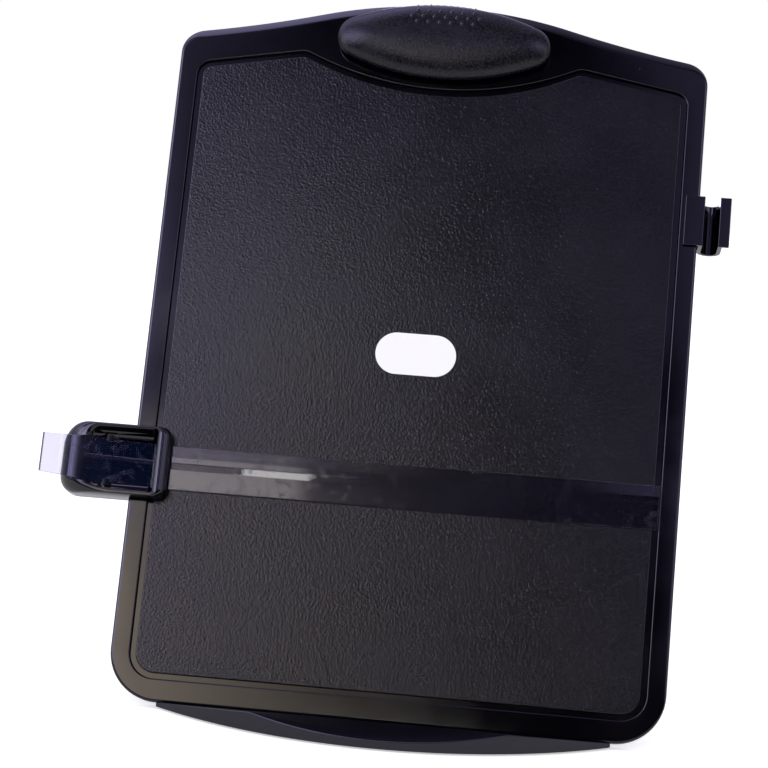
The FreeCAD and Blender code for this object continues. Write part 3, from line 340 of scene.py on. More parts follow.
@dataclass(frozen=True)
class PebbledAbs(Finish):
    """ABS from a mould etched with fine leather-like pebbles, which scatter the gloss."""

    # The real pebbles are about 0.6 mm across; they are drawn 1 mm wide so that they show.
    pebble_mm: float = 1.0
    depth_mm: float = 0.095
    # The colour is painted shade in the pebbles' valleys and painted highlight on their peaks: a
    # tenth of the base colour in the valleys, over twice it on the peaks.
    painted_valley_shade: float = 0.1
    peak: float = 2.3
    rub_mm: float = 45.0

    def dress(self, surface: Surface) -> None:
        """Add pebbles to the normal, painted shade in the valleys and a painted highlight on the
        peaks to the colour, and a soft sheen change.
        """
        pebbles = surface.add("ShaderNodeTexVoronoi", {
            "feature": "SMOOTH_F1", "Scale": 1000.0 / self.pebble_mm, "Smoothness": 0.6},
            {"Vector": surface.coordinates}).outputs["Distance"]
        height = compute(surface.tree, "MULTIPLY", surface.spread(pebbles, 1.0, 0.0, 0.05, 0.75),
                         surface.noise(self.pebble_mm * 1.7))
        surface.relief(height, self.depth_mm)
        # Painted shade and highlight: the colour follows the pebbles' height, dark in the valleys
        # and bright on the peaks.
        surface.stain(surface.spread(height, 0.0, 1.0, 0.14, 0.5), self.times(self.painted_valley_shade),
                      self.times(self.peak))
        rub = surface.spread(surface.noise(self.rub_mm, 3.0), -0.03, 0.04)
        gloss = surface.spread(height, self.roughness + 0.08, self.roughness - 0.05, 0.1, 0.5)
        surface.feed("Roughness", compute(surface.tree, "ADD", rub, gloss))


@dataclass(frozen=True)
class SatinMoulding(Finish):
    """A moulding from a bead-blasted tool: an even fine grain with no mirror gloss."""

    # A blasted tool's grain is near 0.2 mm; it is drawn this coarse so that it shows.
    grain_mm: float = 0.9
    depth_mm: float = 0.12
    mottle: float = 0.0
    rub_mm: float = 22.0

    def dress(self, surface: Surface) -> None:
        """Add a fine grain to the normal, and to the colour if mottled, and rub the gloss."""
        grain = surface.noise(self.grain_mm, 3.0)
        surface.relief(grain, self.depth_mm, 0.8)
        if self.mottle > 0.0:
            surface.stain(surface.spread(grain, 0.0, 1.0, 0.35, 0.65),
                          self.times(1.0 - self.mottle), self.times(1.0 + self.mottle))
        surface.feed("Roughness", surface.spread(
            surface.noise(self.rub_mm, 3.0), self.roughness - 0.06, self.roughness + 0.06))


@dataclass(frozen=True)
class ClearAcrylic(Finish):
    """Extruded acrylic strip with a faint violet tint: clear, scratched, with sawn ends whose dark
    line is painted shade.
    """

    index: float = 1.49
    scratch_mm: float = 14.0
    ends_mm: Flat = (-168.1, 117.4)
    # The dark grey at the strip's ends is painted shade: it stands in for the dark line that a
    # clear strip's end faces show.
    painted_end_mm: float = 0.5
    painted_end_shade: str = "#2c2c32"
    shadow: str = "#dedcea"

    def dress(self, surface: Surface) -> None:
        """Make the strip clear, with hairline scratches and ends painted dark as painted shade, and
        light its shadow.
        """
        surface.shader.inputs["Transmission Weight"].default_value = 1.0
        surface.shader.inputs["IOR"].default_value = self.index
        scratches = surface.add("ShaderNodeTexNoise", {
            "Scale": 1000.0 / self.scratch_mm, "Detail": 1.0, "Distortion": 2.5},
            {"Vector": surface.coordinates}).outputs[0]
        surface.feed("Roughness", surface.spread(
            scratches, self.roughness, self.roughness + 0.07, 0.57, 0.62))
        across = surface.add("ShaderNodeSeparateXYZ", links={
            "Vector": surface.coordinates}).outputs["X"]
        low, high = (end * MM for end in self.ends_mm)
        zone = self.painted_end_mm * MM
        # Painted shade: the base colour turns dark grey within a band at each end of the strip.
        painted_end_mask = compute(surface.tree, "MAXIMUM",
                       surface.spread(across, 1.0, 0.0, low - zone, low),
                       surface.spread(across, 0.0, 1.0, high, high + zone))
        surface.stain(painted_end_mask, linear(self.colour), linear(self.painted_end_shade))
        dimmed = surface.add("ShaderNodeBsdfTransparent", {"Color": linear(self.shadow)})
        shadow_ray = surface.add("ShaderNodeLightPath").outputs["Is Shadow Ray"]
        mixed = mix_shaders(surface.tree, shadow_ray, surface.shader.outputs["BSDF"],
                            dimmed.outputs["BSDF"])
        surface.tree.links.new(mixed, surface.output.inputs["Surface"])


@dataclass(frozen=True)
class PlatedSteel(Finish):
    """Zinc-plated steel, turned or drawn, with a fine round-the-axis grain."""

    # Tool marks are under 0.1 mm apart; they are drawn this coarse so that they show.
    grain_mm: float = 0.35
    depth_mm: float = 0.01

    def dress(self, surface: Surface) -> None:
        """Add a fine streaked grain to the gloss."""
        streaks = surface.add("ShaderNodeMapping", {"Scale": (0.2, 1.0, 1.0)},
                              {"Vector": surface.coordinates}).outputs["Vector"]
        grain = surface.noise(self.grain_mm, 3.0, streaks)
        surface.feed("Roughness", surface.spread(
            grain, self.roughness - 0.08, self.roughness + 0.1))
        surface.relief(grain, self.depth_mm, 0.5)


@dataclass(frozen=True)
class PressedFelt(Finish):
    """Pressed wool felt: a fuzzy mat of short fibres with no gloss."""

    # Wool fibres are near 0.03 mm; the mat is drawn this coarse so that it shows.
    fibre_mm: float = 0.5
    depth_mm: float = 0.15
    fuzz: float = 0.4

    def dress(self, surface: Surface) -> None:
        """Add fibres to the normal and the soft rim light of fuzz."""
        surface.shader.inputs["Sheen Weight"].default_value = self.fuzz
        surface.relief(surface.noise(self.fibre_mm, 5.0), self.depth_mm)


GLOSS_SHELL = GlossAbs("moulded_gloss_abs", "gloss_shell", "#020104", 0.09)
SHELF_SHELL = GlossAbs("moulded_shelf_abs", "shelf_shell", "#12111b", 0.2)
PEBBLED_PANEL = PebbledAbs("pebbled_panel_abs", "pebbled_panel", "#0a090e", 0.16, 0.42)
LEVER_SKIN = SatinMoulding("fine_grain_lever_abs", "gloss_shell", "#131216", 0.24, 0.3,
                           mottle=0.9)
LABEL_FILM = SatinMoulding("label_film", "label_white", "#f5f4fb", 0.4, grain_mm=2.0,
                           depth_mm=0.004)
CLEAR_STRIP = ClearAcrylic("clear_guide_acrylic", "clear_guide", "#cdccda", 0.03)
INNER_PLASTIC = SatinMoulding("inner_black_abs", "inner_plastic", "#17161b", 0.5)
SOFT_PAD = SatinMoulding("soft_jaw_lining", "soft_pad", "#17171b", 0.75, grain_mm=0.9)
FOOT_RUBBER = SatinMoulding("foot_rubber", "foot_rubber", "#161618", 0.7, grain_mm=0.8)
FELT = PressedFelt("glide_felt", "felt", "#26262c", 0.95)
STEEL = PlatedSteel("plated_steel", "steel", "#b9bbbf", 0.32, metallic=1.0)


# Mesh helpers

SHARP_DEGREES = 38.0
MERGE_METRES = 2e-6
FLAT_DEGREES = 0.4


def finished_mesh(form: Form, name: str) -> Mesh:
    """Turn a form into a mesh of that name, and free the form."""
    mesh = bpy.data.meshes.new(name)
    form.to_mesh(mesh)
    form.free()
    return mesh


def node_form(node: str) -> Form:
    """Read a CAD node's mesh as a form whose loose triangles are joined."""
    form = bmesh.new()
    form.from_mesh(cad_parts[node].data)
    bmesh.ops.remove_doubles(form, verts=form.verts, dist=MERGE_METRES)
    return form


def join_flats(form: Form) -> None:
    """Join the triangles of each flat face of a form."""
    bmesh.ops.dissolve_limit(form, angle_limit=math.radians(FLAT_DEGREES), verts=form.verts,
                             edges=form.edges, delimit={"NORMAL"})


def smooth(mesh: Mesh, sharp_above: float) -> None:
    """Smooth a mesh, but for its edges above an angle in degrees."""
    mesh.polygons.foreach_set("use_smooth", [True] * len(mesh.polygons))
    mesh.set_sharp_from_angle(angle=math.radians(sharp_above))


def bake(piece: Piece) -> Piece:
    """Turn a piece's modifiers into its mesh, and clear them.

    Args:
        piece: The object whose modifiers are finished.

    Returns:
        The same object, with a plain mesh.
    """
    graph = bpy.context.evaluated_depsgraph_get()
    finished = bpy.data.meshes.new_from_object(
        piece.evaluated_get(graph), preserve_all_data_layers=True, depsgraph=graph)
    finished.name = piece.name
    spent = piece.data
    piece.modifiers.clear()
    piece.data = finished
    bpy.data.meshes.remove(spent)
    return piece


def shade(piece: Piece, sharp_above: float) -> None:
    """Smooth a piece, but for its edges above an angle, with normals led by its large faces.

    Args:
        piece: The object, with its mesh in place.
        sharp_above: The angle in degrees above which an edge stays sharp.
    """
    smooth(piece.data, sharp_above)
    weighted = piece.modifiers.new("weighted", "WEIGHTED_NORMAL")
    weighted.keep_sharp = True
    weighted.weight = 80
    bake(piece)


def cut_away(name: str, blank: Mesh, cutter: Mesh) -> Mesh:
    """Cut one closed mesh out of another.

    Args:
        name: The name of the object that is cut.
        blank: The mesh that is cut.
        cutter: The mesh that is taken out of it.

    Returns:
        The cut mesh.
    """
    piece, tool = new_object(name, blank), new_object(name + "_cutter", cutter)
    cut = piece.modifiers.new("cut", "BOOLEAN")
    cut.object = tool
    cut.use_self = True
    mesh = bake(piece).data
    for spent in (piece, tool):
        bpy.data.objects.remove(spent)
    return mesh


def new_piece(name: str, mesh: Mesh, finish: Finish,
              edge_mm: float = 0.0, sharp_above: float = SHARP_DEGREES) -> Piece:
    """Make a finished piece from a mesh that is already in its final place.

    Args:
        name: The piece's name.
        mesh: Its mesh, in metres.
        finish: What it is made of.
        edge_mm: The radius that its sharp edges are rounded to, or 0.
        sharp_above: The angle in degrees above which an edge counts as sharp.

    Returns:
        The new object.
    """
    piece = new_object(name, mesh)
    if edge_mm > 0.0:
        bevel = piece.modifiers.new("edges", "BEVEL")
        bevel.width = edge_mm * MM
        bevel.segments = 3
        bevel.limit_method = "ANGLE"
        bevel.angle_limit = math.radians(sharp_above)
        bevel.use_clamp_overlap = False
        bake(piece)
    shade(piece, sharp_above)
    piece.data.materials.clear()
    piece.data.materials.append(finish.material())
    return piece


def settle(piece: Piece, body: Body, slot: str, *nodes: str) -> None:
    """Put a finished piece on its body and let it stand for its CAD nodes.

    Args:
        piece: The finished object.
        body: The body that it rides on.
        slot: The record's material slot; not used.
        *nodes: The CAD nodes that it stands for.
    """
    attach(piece, body.value)
    if nodes:
        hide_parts(*nodes)
    log.info("%s: %d faces on %s", piece.name, len(piece.data.polygons), body.value)


@dataclass(frozen=True)
class EasedNode:
    """A CAD node whose sharp edges are eased, as a mould or a file leaves them.

    It has the node's name, the new piece's name, its finish, its edges' radius and its body.
    """

    node: str
    name: str
    finish: Finish
    edge_mm: float
    body: Body = Body.STAND

    def build(self) -> None:
        """Copy the node, ease it, dress it and put it in the node's place."""
        form = node_form(self.node)
        join_flats(form)
        piece = new_piece(self.name, finished_mesh(form, self.name), self.finish, self.edge_mm)
        settle(piece, self.body, self.finish.slot, self.node)


def dress_node(node: str, finish: Finish) -> None:
    """Give a CAD node that shows as it is its finish."""
    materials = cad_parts[node].data.materials
    materials.clear()
    materials.append(finish.material())
    log.info("%s: CAD node in %s", node, finish.name)


class Shell:
    """A closed form lofted through rings that all have the same number of places."""

    def __init__(self) -> None:
        """Start an empty form in the board's frame."""
        self.form = bmesh.new()

    def loft(self, rings: Sequence[Ring]) -> None:
        """Join rings of places, each in the same order, with quads, and close the ends."""
        rows = [[self.form.verts.new(BOARD.place(*place)) for place in ring] for ring in rings]
        for row, following in zip(rows, rows[1:]):
            for index in range(len(row)):
                after = (index + 1) % len(row)
                self.form.faces.new((row[index], row[after], following[after], following[index]))
        self.form.faces.new(list(reversed(rows[0])))
        self.form.faces.new(rows[-1])

    def mesh(self, name: str) -> Mesh:
        """Finish the form as a mesh, in metres, whose faces point outwards."""
        bmesh.ops.remove_doubles(self.form, verts=self.form.verts, dist=1e-7)
        bmesh.ops.recalc_face_normals(self.form, faces=self.form.faces)
        return finished_mesh(self.form, name)


# Outlines

@dataclass(frozen=True)
class Edge:
    """One place on an outline: where it is, which way is outwards and how far up the top it is."""

    x: float
    y: float
    facing: float
    crown: float

    def shifted(self, inset: float, out: float) -> Place:
        """The place drawn in by inset, at that height out of the board's face."""
        return (self.x - inset * math.cos(self.facing), self.y - inset * math.sin(self.facing),
                out)

    def mirrored(self) -> "Edge":
        """The same place on the left side."""
        return Edge(-self.x, self.y, math.pi - self.facing, self.crown)


def arc(centre: Flat, radius: float, start: float, end: float, count: int,
        hollow: bool = False) -> list[tuple[float, float, float]]:
    """Sample an arc by the way that it faces, in degrees, leaving its last place out.

    Args:
        centre: The arc's centre.
        radius: Its radius.
        start: The facing at its start.
        end: The facing at its end.
        count: How many places to give.
        hollow: Whether the outline curves inwards there, round a centre outside it.

    Returns:
        Places as (x, y, facing), with the facing in radians.
    """
    places = []
    for index in range(count):
        facing = math.radians(start + (end - start) * index / count)
        side = -radius if hollow else radius
        places.append((centre[0] + side * math.cos(facing), centre[1] + side * math.sin(facing),
                       facing))
    return places


def run(start: Flat, end: Flat, facing: float, count: int) -> list[tuple[float, float, float]]:
    """Sample a straight run, leaving its last place out.

    Args:
        start: Where it starts.
        end: Where it ends.
        facing: Which way it faces, in degrees.
        count: How many places to give.

    Returns:
        Places as (x, y, facing), with the facing in radians.
    """
    return [(start[0] + (end[0] - start[0]) * index / count,
             start[1] + (end[1] - start[1]) * index / count, math.radians(facing))
            for index in range(count)]


def closed(sections: Sequence[list[tuple[float, float, float]]]) -> list[Edge]:
    """Close an outline from its right side's sections, bottom to top, and their mirror.

    Args:
        sections: The right side's places. The last three are the shoulder, where the top begins,
            the slope after it and the crown.

    Returns:
        The whole outline, anticlockwise from the middle of the bottom.
    """
    right = []
    shoulder = len(sections) - 3
    for number, section in enumerate(sections):
        for index, (x, y, facing) in enumerate(section):
            crown = progress(number + index / len(section), shoulder, shoulder + 1.0)
            right.append(Edge(x, y, facing, crown))
    top = Edge(0.0, sections[-1][-1][1], math.radians(90.0), 1.0)
    left = [edge.mirrored() for edge in reversed(right[1:])]
    return right + [top] + left


@dataclass
class BoardOutline:
    """The board's edge: arched top, soft shoulders, straight sides and round bottom corners."""

    half_width: float = 127.4
    side_height: float = 314.2
    bottom_radius: float = 23.0
    top_radius: float = 12.0
    shoulder_slope: float = 9.5
    crown_slope: float = 15.0
    crown_radius: float = 232.0
    flange_half: float = 80.3
    flange_step: float = 0.05

    def edges(self) -> list[Edge]:
        """Sample the outline.

        Returns:
            Its places, anticlockwise from the middle of the bottom.
        """
        foot = self.half_width - self.bottom_radius
        corner = self.half_width - self.top_radius
        low, high = math.radians(self.shoulder_slope), math.radians(self.crown_slope)
        shoulder_x = corner + self.top_radius * math.sin(low)
        shoulder_y = self.side_height + self.top_radius * math.cos(low)
        crown_x = self.crown_radius * math.sin(high)
        sweep = (shoulder_x - crown_x) / (math.sin(high) - math.sin(low))
        sweep_centre = (shoulder_x + sweep * math.sin(low), shoulder_y + sweep * math.cos(low))
        crown_y = shoulder_y + sweep * (math.cos(low) - math.cos(high))
        crown_centre = (0.0, crown_y - self.crown_radius * math.cos(high))
        marks = (0.0, self.flange_half, self.flange_half + self.flange_step, foot)
        bottom = []
        for start, end, count in zip(marks, marks[1:], (4, 1, 3)):
            bottom += run((start, 0.0), (end, 0.0), -90.0, count)
        outline = closed([
            bottom,
            arc((foot, self.bottom_radius), self.bottom_radius, -90.0, 0.0, 14),
            run((self.half_width, self.bottom_radius), (self.half_width, self.side_height), 0.0,
                10),
            arc((corner, self.side_height), self.top_radius, 0.0, 90.0 - self.shoulder_slope, 10),
            arc(sweep_centre, sweep, 90.0 - self.shoulder_slope, 90.0 - self.crown_slope, 14,
                hollow=True),
            arc(crown_centre, self.crown_radius, 90.0 - self.crown_slope, 90.0, 16),
        ])
        top = crown_centre[1] + self.crown_radius
        return [Edge(0.0, top, edge.facing, 1.0) if abs(edge.x) < 1e-6 and edge.y > 100.0
                else edge for edge in outline]


@dataclass
class FieldOutline:
    """The panel's edge, drawn out by grow, with a notch under the clip."""

    grow: float = 0.0
    half_width: float = 115.7
    bottom: float = 13.2
    bottom_radius: float = 9.0
    top_radius: float = 4.5
    side_height: float = 303.2
    slope: float = 10.3
    peak: float = 66.4
    notch_depth: float = 15.2
    peak_ease: float = 2.6
    peak_steps: int = 6

    def edges(self) -> list[Edge]:
        """Sample the outline, in step with the board's own.

        Returns:
            Its places, anticlockwise from the middle of the bottom.
        """
        grow = self.grow
        half = self.half_width + grow
        base = self.bottom - grow
        foot = self.half_width - self.bottom_radius
        low_radius = self.bottom_radius + grow
        top_radius = self.top_radius + grow
        corner = self.half_width - self.top_radius
        slope = math.radians(self.slope)
        slope_x = corner + top_radius * math.sin(slope)
        slope_y = self.side_height + top_radius * math.cos(slope)
        peak_y = slope_y + (slope_x - self.peak) * math.tan(slope)
        depth = self.notch_depth
        notch_radius = (self.peak ** 2 + depth ** 2) / (2.0 * depth)
        notch_centre = (0.0, peak_y - depth + notch_radius)
        before = (self.peak + self.peak_ease * math.cos(slope),
                  peak_y - self.peak_ease * math.sin(slope))
        turn = math.degrees(math.asin((self.peak - self.peak_ease) / notch_radius))
        after_facing = 90.0 + turn
        after = (notch_centre[0] - notch_radius * math.cos(math.radians(after_facing)),
                 notch_centre[1] - notch_radius * math.sin(math.radians(after_facing)))
        rounding = []
        for index in range(self.peak_steps):
            share = index / self.peak_steps
            weights = ((1 - share) ** 2, 2 * share * (1 - share), share ** 2)
            x = weights[0] * before[0] + weights[1] * self.peak + weights[2] * after[0]
            y = weights[0] * before[1] + weights[1] * peak_y + weights[2] * after[1]
            facing = math.radians(90.0 - self.slope + share * (turn + self.slope))
            rounding.append((x, y, facing))
        return closed([
            run((0.0, base), (foot, base), -90.0, 8),
            arc((foot, base + low_radius), low_radius, -90.0, 0.0, 14),
            run((half, base + low_radius), (half, self.side_height), 0.0, 10),
            arc((corner, self.side_height), top_radius, 0.0, 90.0 - self.slope, 10),
            run((slope_x, slope_y), before, 90.0 - self.slope, 8) + rounding,
            arc(notch_centre, notch_radius, after_facing, 90.0, 16, hollow=True),
        ])


# Geometry Nodes helpers

def new_geometry_tree(name: str, inputs: dict[str, tuple[str, Any]]) -> Tree:
    """Start a geometry tree with named inputs.

    Args:
        name: The tree's name.
        inputs: Socket type and default by name, after the incoming geometry.

    Returns:
        The tree, with its group input and output nodes.
    """
    tree = bpy.data.node_groups.new(name, "GeometryNodeTree")
    tree.interface.new_socket("Geometry", in_out="INPUT", socket_type="NodeSocketGeometry")
    for label, (kind, default) in inputs.items():
        socket = tree.interface.new_socket(label, in_out="INPUT", socket_type=kind)
        if default is not None:
            socket.default_value = default
    tree.interface.new_socket("Geometry", in_out="OUTPUT", socket_type="NodeSocketGeometry")
    add_node(tree, "NodeGroupInput")
    add_node(tree, "NodeGroupOutput")
    return tree


def group_ends(tree: Tree) -> tuple[Node, Node]:
    """The tree's group input and group output nodes."""
    start = next(node for node in tree.nodes if node.bl_idname == "NodeGroupInput")
    end = next(node for node in tree.nodes if node.bl_idname == "NodeGroupOutput")
    return start, end


def set_copies(tree: Tree, points: Socket, links: dict[str, Socket]) -> None:
    """End a tree with a shape on every point, made solid and given the tree's Finish.

    Args:
        tree: The geometry tree, which has an input named Finish.
        points: The points.
        links: The shape, as Instance, and its Rotation if it has one.
    """
    start, end = group_ends(tree)
    placed = add_node(tree, "GeometryNodeInstanceOnPoints", links={"Points": points, **links})
    solid = add_node(tree, "GeometryNodeRealizeInstances", links={
        "Geometry": placed.outputs["Instances"]})
    dressed = add_node(tree, "GeometryNodeSetMaterial", links={
        "Geometry": solid.outputs["Geometry"], "Material": start.outputs["Finish"]})
    tree.links.new(dressed.outputs["Geometry"], end.inputs["Geometry"])


def run_tree(piece: Piece, tree: Tree, values: dict[str, Any]) -> Piece:
    """Run a geometry tree on an object, and keep what it makes as a plain mesh.

    Args:
        piece: The object whose mesh the tree starts from.
        tree: The geometry tree.
        values: The inputs' values by name.

    Returns:
        The same object.
    """
    modifier = piece.modifiers.new("nodes", "NODES")
    modifier.node_group = tree
    for item in tree.interface.items_tree:
        if item.item_type == "SOCKET" and item.in_out == "INPUT" and item.name in values:
            modifier[item.identifier] = values[item.name]
    return bake(piece)


def repeat_tree() -> Tree:
    """Build the tree that sets one shape on every point of a mesh.

    Returns:
        The tree, with inputs Shape, Turn and Finish.
    """
    known = bpy.data.node_groups.get("repeat_shape")
    if known:
        return known
    tree = new_geometry_tree("repeat_shape", {
        "Shape": ("NodeSocketObject", None), "Turn": ("NodeSocketVector", (0.0, 0.0, 0.0)),
        "Finish": ("NodeSocketMaterial", None)})
    start, _ = group_ends(tree)
    shape = add_node(tree, "GeometryNodeObjectInfo", links={"Object": start.outputs["Shape"]})
    set_copies(tree, start.outputs["Geometry"], {
        "Instance": shape.outputs["Geometry"], "Rotation": start.outputs["Turn"]})
    return tree


def repeat_shape(name: str, shape: Mesh, places: Iterable[Vector], turn: Matrix,
                 finish: Finish) -> Piece:
    """Set one shape on many places as a single plain mesh.

    Args:
        name: The new piece's name.
        shape: The shape, round its own origin, in metres.
        places: Where it goes, in metres.
        turn: How it is turned there.
        finish: What it is made of.

    Returns:
        The new object.
    """
    pattern = new_object(name + "_shape", shape)
    points = bpy.data.meshes.new(name)
    points.from_pydata([tuple(place) for place in places], [], [])
    piece = new_object(name, points)
    run_tree(piece, repeat_tree(), {
        "Shape": pattern, "Turn": tuple(turn.to_euler()), "Finish": finish.material()})
    bpy.data.objects.remove(pattern)
    smooth(piece.data, SHARP_DEGREES)
    piece.data.materials.clear()
    piece.data.materials.append(finish.material())
    return piece


def lathe(name: str, profile: Sequence[Flat], segments: int) -> Mesh:
    """Turn a profile of (radius, height) about Z, and close it at its ends.

    Args:
        name: The mesh's name.
        profile: Places from the axis or an open end to the other, in millimetres.
        segments: How many sides the turned shape has.

    Returns:
        The mesh, in metres.
    """
    form = bmesh.new()
    rows = []
    for radius, height in profile:
        count = 1 if radius < 1e-6 else segments
        rows.append([form.verts.new((
            radius * MM * math.cos(math.tau * index / segments),
            radius * MM * math.sin(math.tau * index / segments), height * MM))
            for index in range(count)])
    for row, following in zip(rows, rows[1:]):
        for index in range(segments):
            after = (index + 1) % segments
            corners = [row[index % len(row)], row[after % len(row)],
                       following[after % len(following)], following[index % len(following)]]
            distinct = list(dict.fromkeys(corners))
            if len(distinct) > 2:
                form.faces.new(distinct)
    bmesh.ops.recalc_face_normals(form, faces=form.faces)
    return finished_mesh(form, name)


# The board

@dataclass
class Board:
    """The glossy border with its wide top bevel, the pebbled panel and the blank label."""

    outline: BoardOutline = field(default_factory=BoardOutline)
    depth: float = 6.0
    skin_back: float = 4.2
    floor: float = 2.2
    skirt: float = 2.4
    skirt_ease: float = 0.3
    rear_ease: float = 0.5
    side_roll: Flat = (1.3, 1.1)
    top_roll: Flat = (4.6, 2.1)
    # The top's bevel, from the side to the face, in shares of its width and its drop.
    top_bevel: tuple[Flat, ...] = ((0.0, 1.0), (0.03, 0.86), (0.1, 0.75), (0.35, 0.48),
                                   (0.62, 0.22), (0.86, 0.05), (1.0, 0.0))
    notch_step: float = 0.02
    groove: float = 2.8
    lip_radius: float = 0.45
    lip_steps: int = 3
    seat_ease: float = 0.3
    panel_overlap: float = 1.5
    panel_face: float = 0.4
    panel_edge: float = 0.55
    panel_steps: int = 4

    def roll_size(self, edge: Edge) -> Flat:
        """The edge roll's width and drop at a place: narrow down the sides, wide on the top."""
        return tuple(side + (top - side) * eased(edge.crown)
                     for side, top in zip(self.side_roll, self.top_roll))

    def rear_rim(self, edge: Edge) -> float:
        """How deep the skirt goes at a place: it stops short where the shelf's flange fits."""
        notch_half = self.outline.flange_half + self.outline.flange_step / 2.0
        in_notch = abs(edge.x) < notch_half and edge.y < self.outline.bottom_radius
        return -self.skin_back - self.notch_step if in_notch else -self.depth

    def border_mesh(self) -> Mesh:
        """Loft the border from its rear skin, round the skirt and front, to the panel's seat.

        Returns:
            The border's mesh.
        """
        edges = self.outline.edges()
        rings = [[edge.shifted(self.skirt, -self.skin_back) for edge in edges]]
        for inset, rise in ((self.skirt, 0.01), (self.skirt - self.skirt_ease, 0.0),
                            (self.rear_ease, 0.0), (0.0, self.rear_ease)):
            rings.append([edge.shifted(inset, self.rear_rim(edge) + rise) for edge in edges])
        for (cosine, sine), (flat_in, flat_down) in zip(quarter(len(self.top_bevel) - 1),
                                                        self.top_bevel):
            round_in, round_down = 1.0 - cosine, 1.0 - sine
            ring = []
            for edge in edges:
                width, drop = self.roll_size(edge)
                ring.append(edge.shifted(
                    width * (round_in + (flat_in - round_in) * edge.crown),
                    -drop * (round_down + (flat_down - round_down) * edge.crown)))
            rings.append(ring)
        lip = [(self.groove + self.lip_radius * (1.0 - sine), self.lip_radius * (cosine - 1.0))
               for cosine, sine in quarter(self.lip_steps)]
        for grow, out in (*lip, (self.groove, self.seat_ease - self.floor),
                          (self.groove - self.seat_ease, -self.floor),
                          (-self.panel_overlap, -self.floor)):
            rings.append([edge.shifted(0.0, out) for edge in FieldOutline(grow).edges()])
        shell = Shell()
        shell.loft(rings)
        return shell.mesh("border")

    def panel_mesh(self) -> Mesh:
        """Loft the panel with a small rounded edge.

        Returns:
            The panel's mesh.
        """
        rings = [[edge.shifted(0.0, -self.floor) for edge in FieldOutline(0.0).edges()]]
        for cosine, sine in quarter(self.panel_steps):
            grow = self.panel_edge * (cosine - 1.0)
            out = -self.panel_face - self.panel_edge * (1.0 - sine)
            rings.append([edge.shifted(0.0, out) for edge in FieldOutline(grow).edges()])
        shell = Shell()
        shell.loft(rings)
        return shell.mesh("panel_insert")

    def build(self) -> None:
        """Build and place the border, the panel and the label."""
        border = new_piece("border", self.border_mesh(), GLOSS_SHELL)
        settle(border, Body.STAND, GLOSS_SHELL.slot, "frame")
        panel = new_piece("panel_insert", self.panel_mesh(), PEBBLED_PANEL)
        settle(panel, Body.STAND, PEBBLED_PANEL.slot, "panel")
        EasedNode("label", "blank_label", LABEL_FILM, 0.06).build()


@dataclass
class RearRibs:
    """The ribs that stiffen the board's hollow back: uprights and cross ribs."""

    width: float = 1.6
    height: float = 1.78
    upright_count: int = 5
    upright_pitch: float = 42.0
    upright_span: Flat = (2.3, 305.0)
    cross_count: int = 5
    cross_pitch: float = 56.0
    cross_first: float = 36.8
    cross_half: float = 124.7
    skin_back: float = 4.2
    edge: float = 0.3

    @staticmethod
    def tree() -> Tree:
        """Build the tree that lays a row of equal bars.

        Returns:
            The tree, with inputs Count, Pitch, Start, Bar size and Finish.
        """
        known = bpy.data.node_groups.get("row_of_ribs")
        if known:
            return known
        tree = new_geometry_tree("row_of_ribs", {
            "Count": ("NodeSocketInt", 5), "Pitch": ("NodeSocketVector", (0.04, 0.0, 0.0)),
            "Start": ("NodeSocketVector", (0.0, 0.0, 0.0)),
            "Bar size": ("NodeSocketVector", (0.0016, 0.3, 0.0018)),
            "Finish": ("NodeSocketMaterial", None)})
        start, _ = group_ends(tree)
        row = add_node(tree, "GeometryNodeMeshLine", {"mode": "OFFSET"}, {
            "Count": start.outputs["Count"], "Start Location": start.outputs["Start"],
            "Offset": start.outputs["Pitch"]})
        bar = add_node(tree, "GeometryNodeMeshCube", links={"Size": start.outputs["Bar size"]})
        set_copies(tree, row.outputs["Mesh"], {"Instance": bar.outputs["Mesh"]})
        return tree

    def row(self, name: str, count: int, start: Place, pitch: Place, bar: Place) -> None:
        """Lay one row of ribs on the board's back.

        Args:
            name: The piece's name.
            count: How many ribs the row has.
            start: The first rib's centre in the board's frame.
            pitch: The step from rib to rib.
            bar: One rib's size.
        """
        pattern = new_object(name, bpy.data.meshes.new(name))
        mesh = run_tree(pattern, self.tree(), {
            "Count": count, "Start": start, "Pitch": pitch, "Bar size": bar,
            "Finish": GLOSS_SHELL.material()}).data
        bpy.data.objects.remove(pattern)
        mesh.transform(BOARD.matrix())
        ribs = new_piece(name, mesh, GLOSS_SHELL, self.edge)
        settle(ribs, Body.STAND, GLOSS_SHELL.slot)

    def build(self) -> None:
        """Lay the uprights and the cross ribs."""
        middle = -self.skin_back - self.height / 2.0 + 0.02
        low, high = self.upright_span
        self.row("upright_ribs", self.upright_count,
                 (-self.upright_pitch * (self.upright_count - 1) / 2.0, (low + high) / 2.0, middle),
                 (self.upright_pitch, 0.0, 0.0), (self.width, high - low, self.height))
        self.row("cross_ribs", self.cross_count, (0.0, self.cross_first, middle),
                 (0.0, self.cross_pitch, 0.0), (2.0 * self.cross_half, self.width, self.height))


# The rest of the holder

@dataclass
class PaperShelf:
    """The crescent shelf with its thumb scoop, and the feet under it."""

    shelf_edge: float = 0.5
    foot_edge: float = 0.3

    def build(self) -> None:
        """Build and place the shelf and its feet."""
        EasedNode("shelf", "paper_shelf", SHELF_SHELL, self.shelf_edge).build()
        EasedNode("shelf_feet", "front_feet", FOOT_RUBBER, self.foot_edge).build()


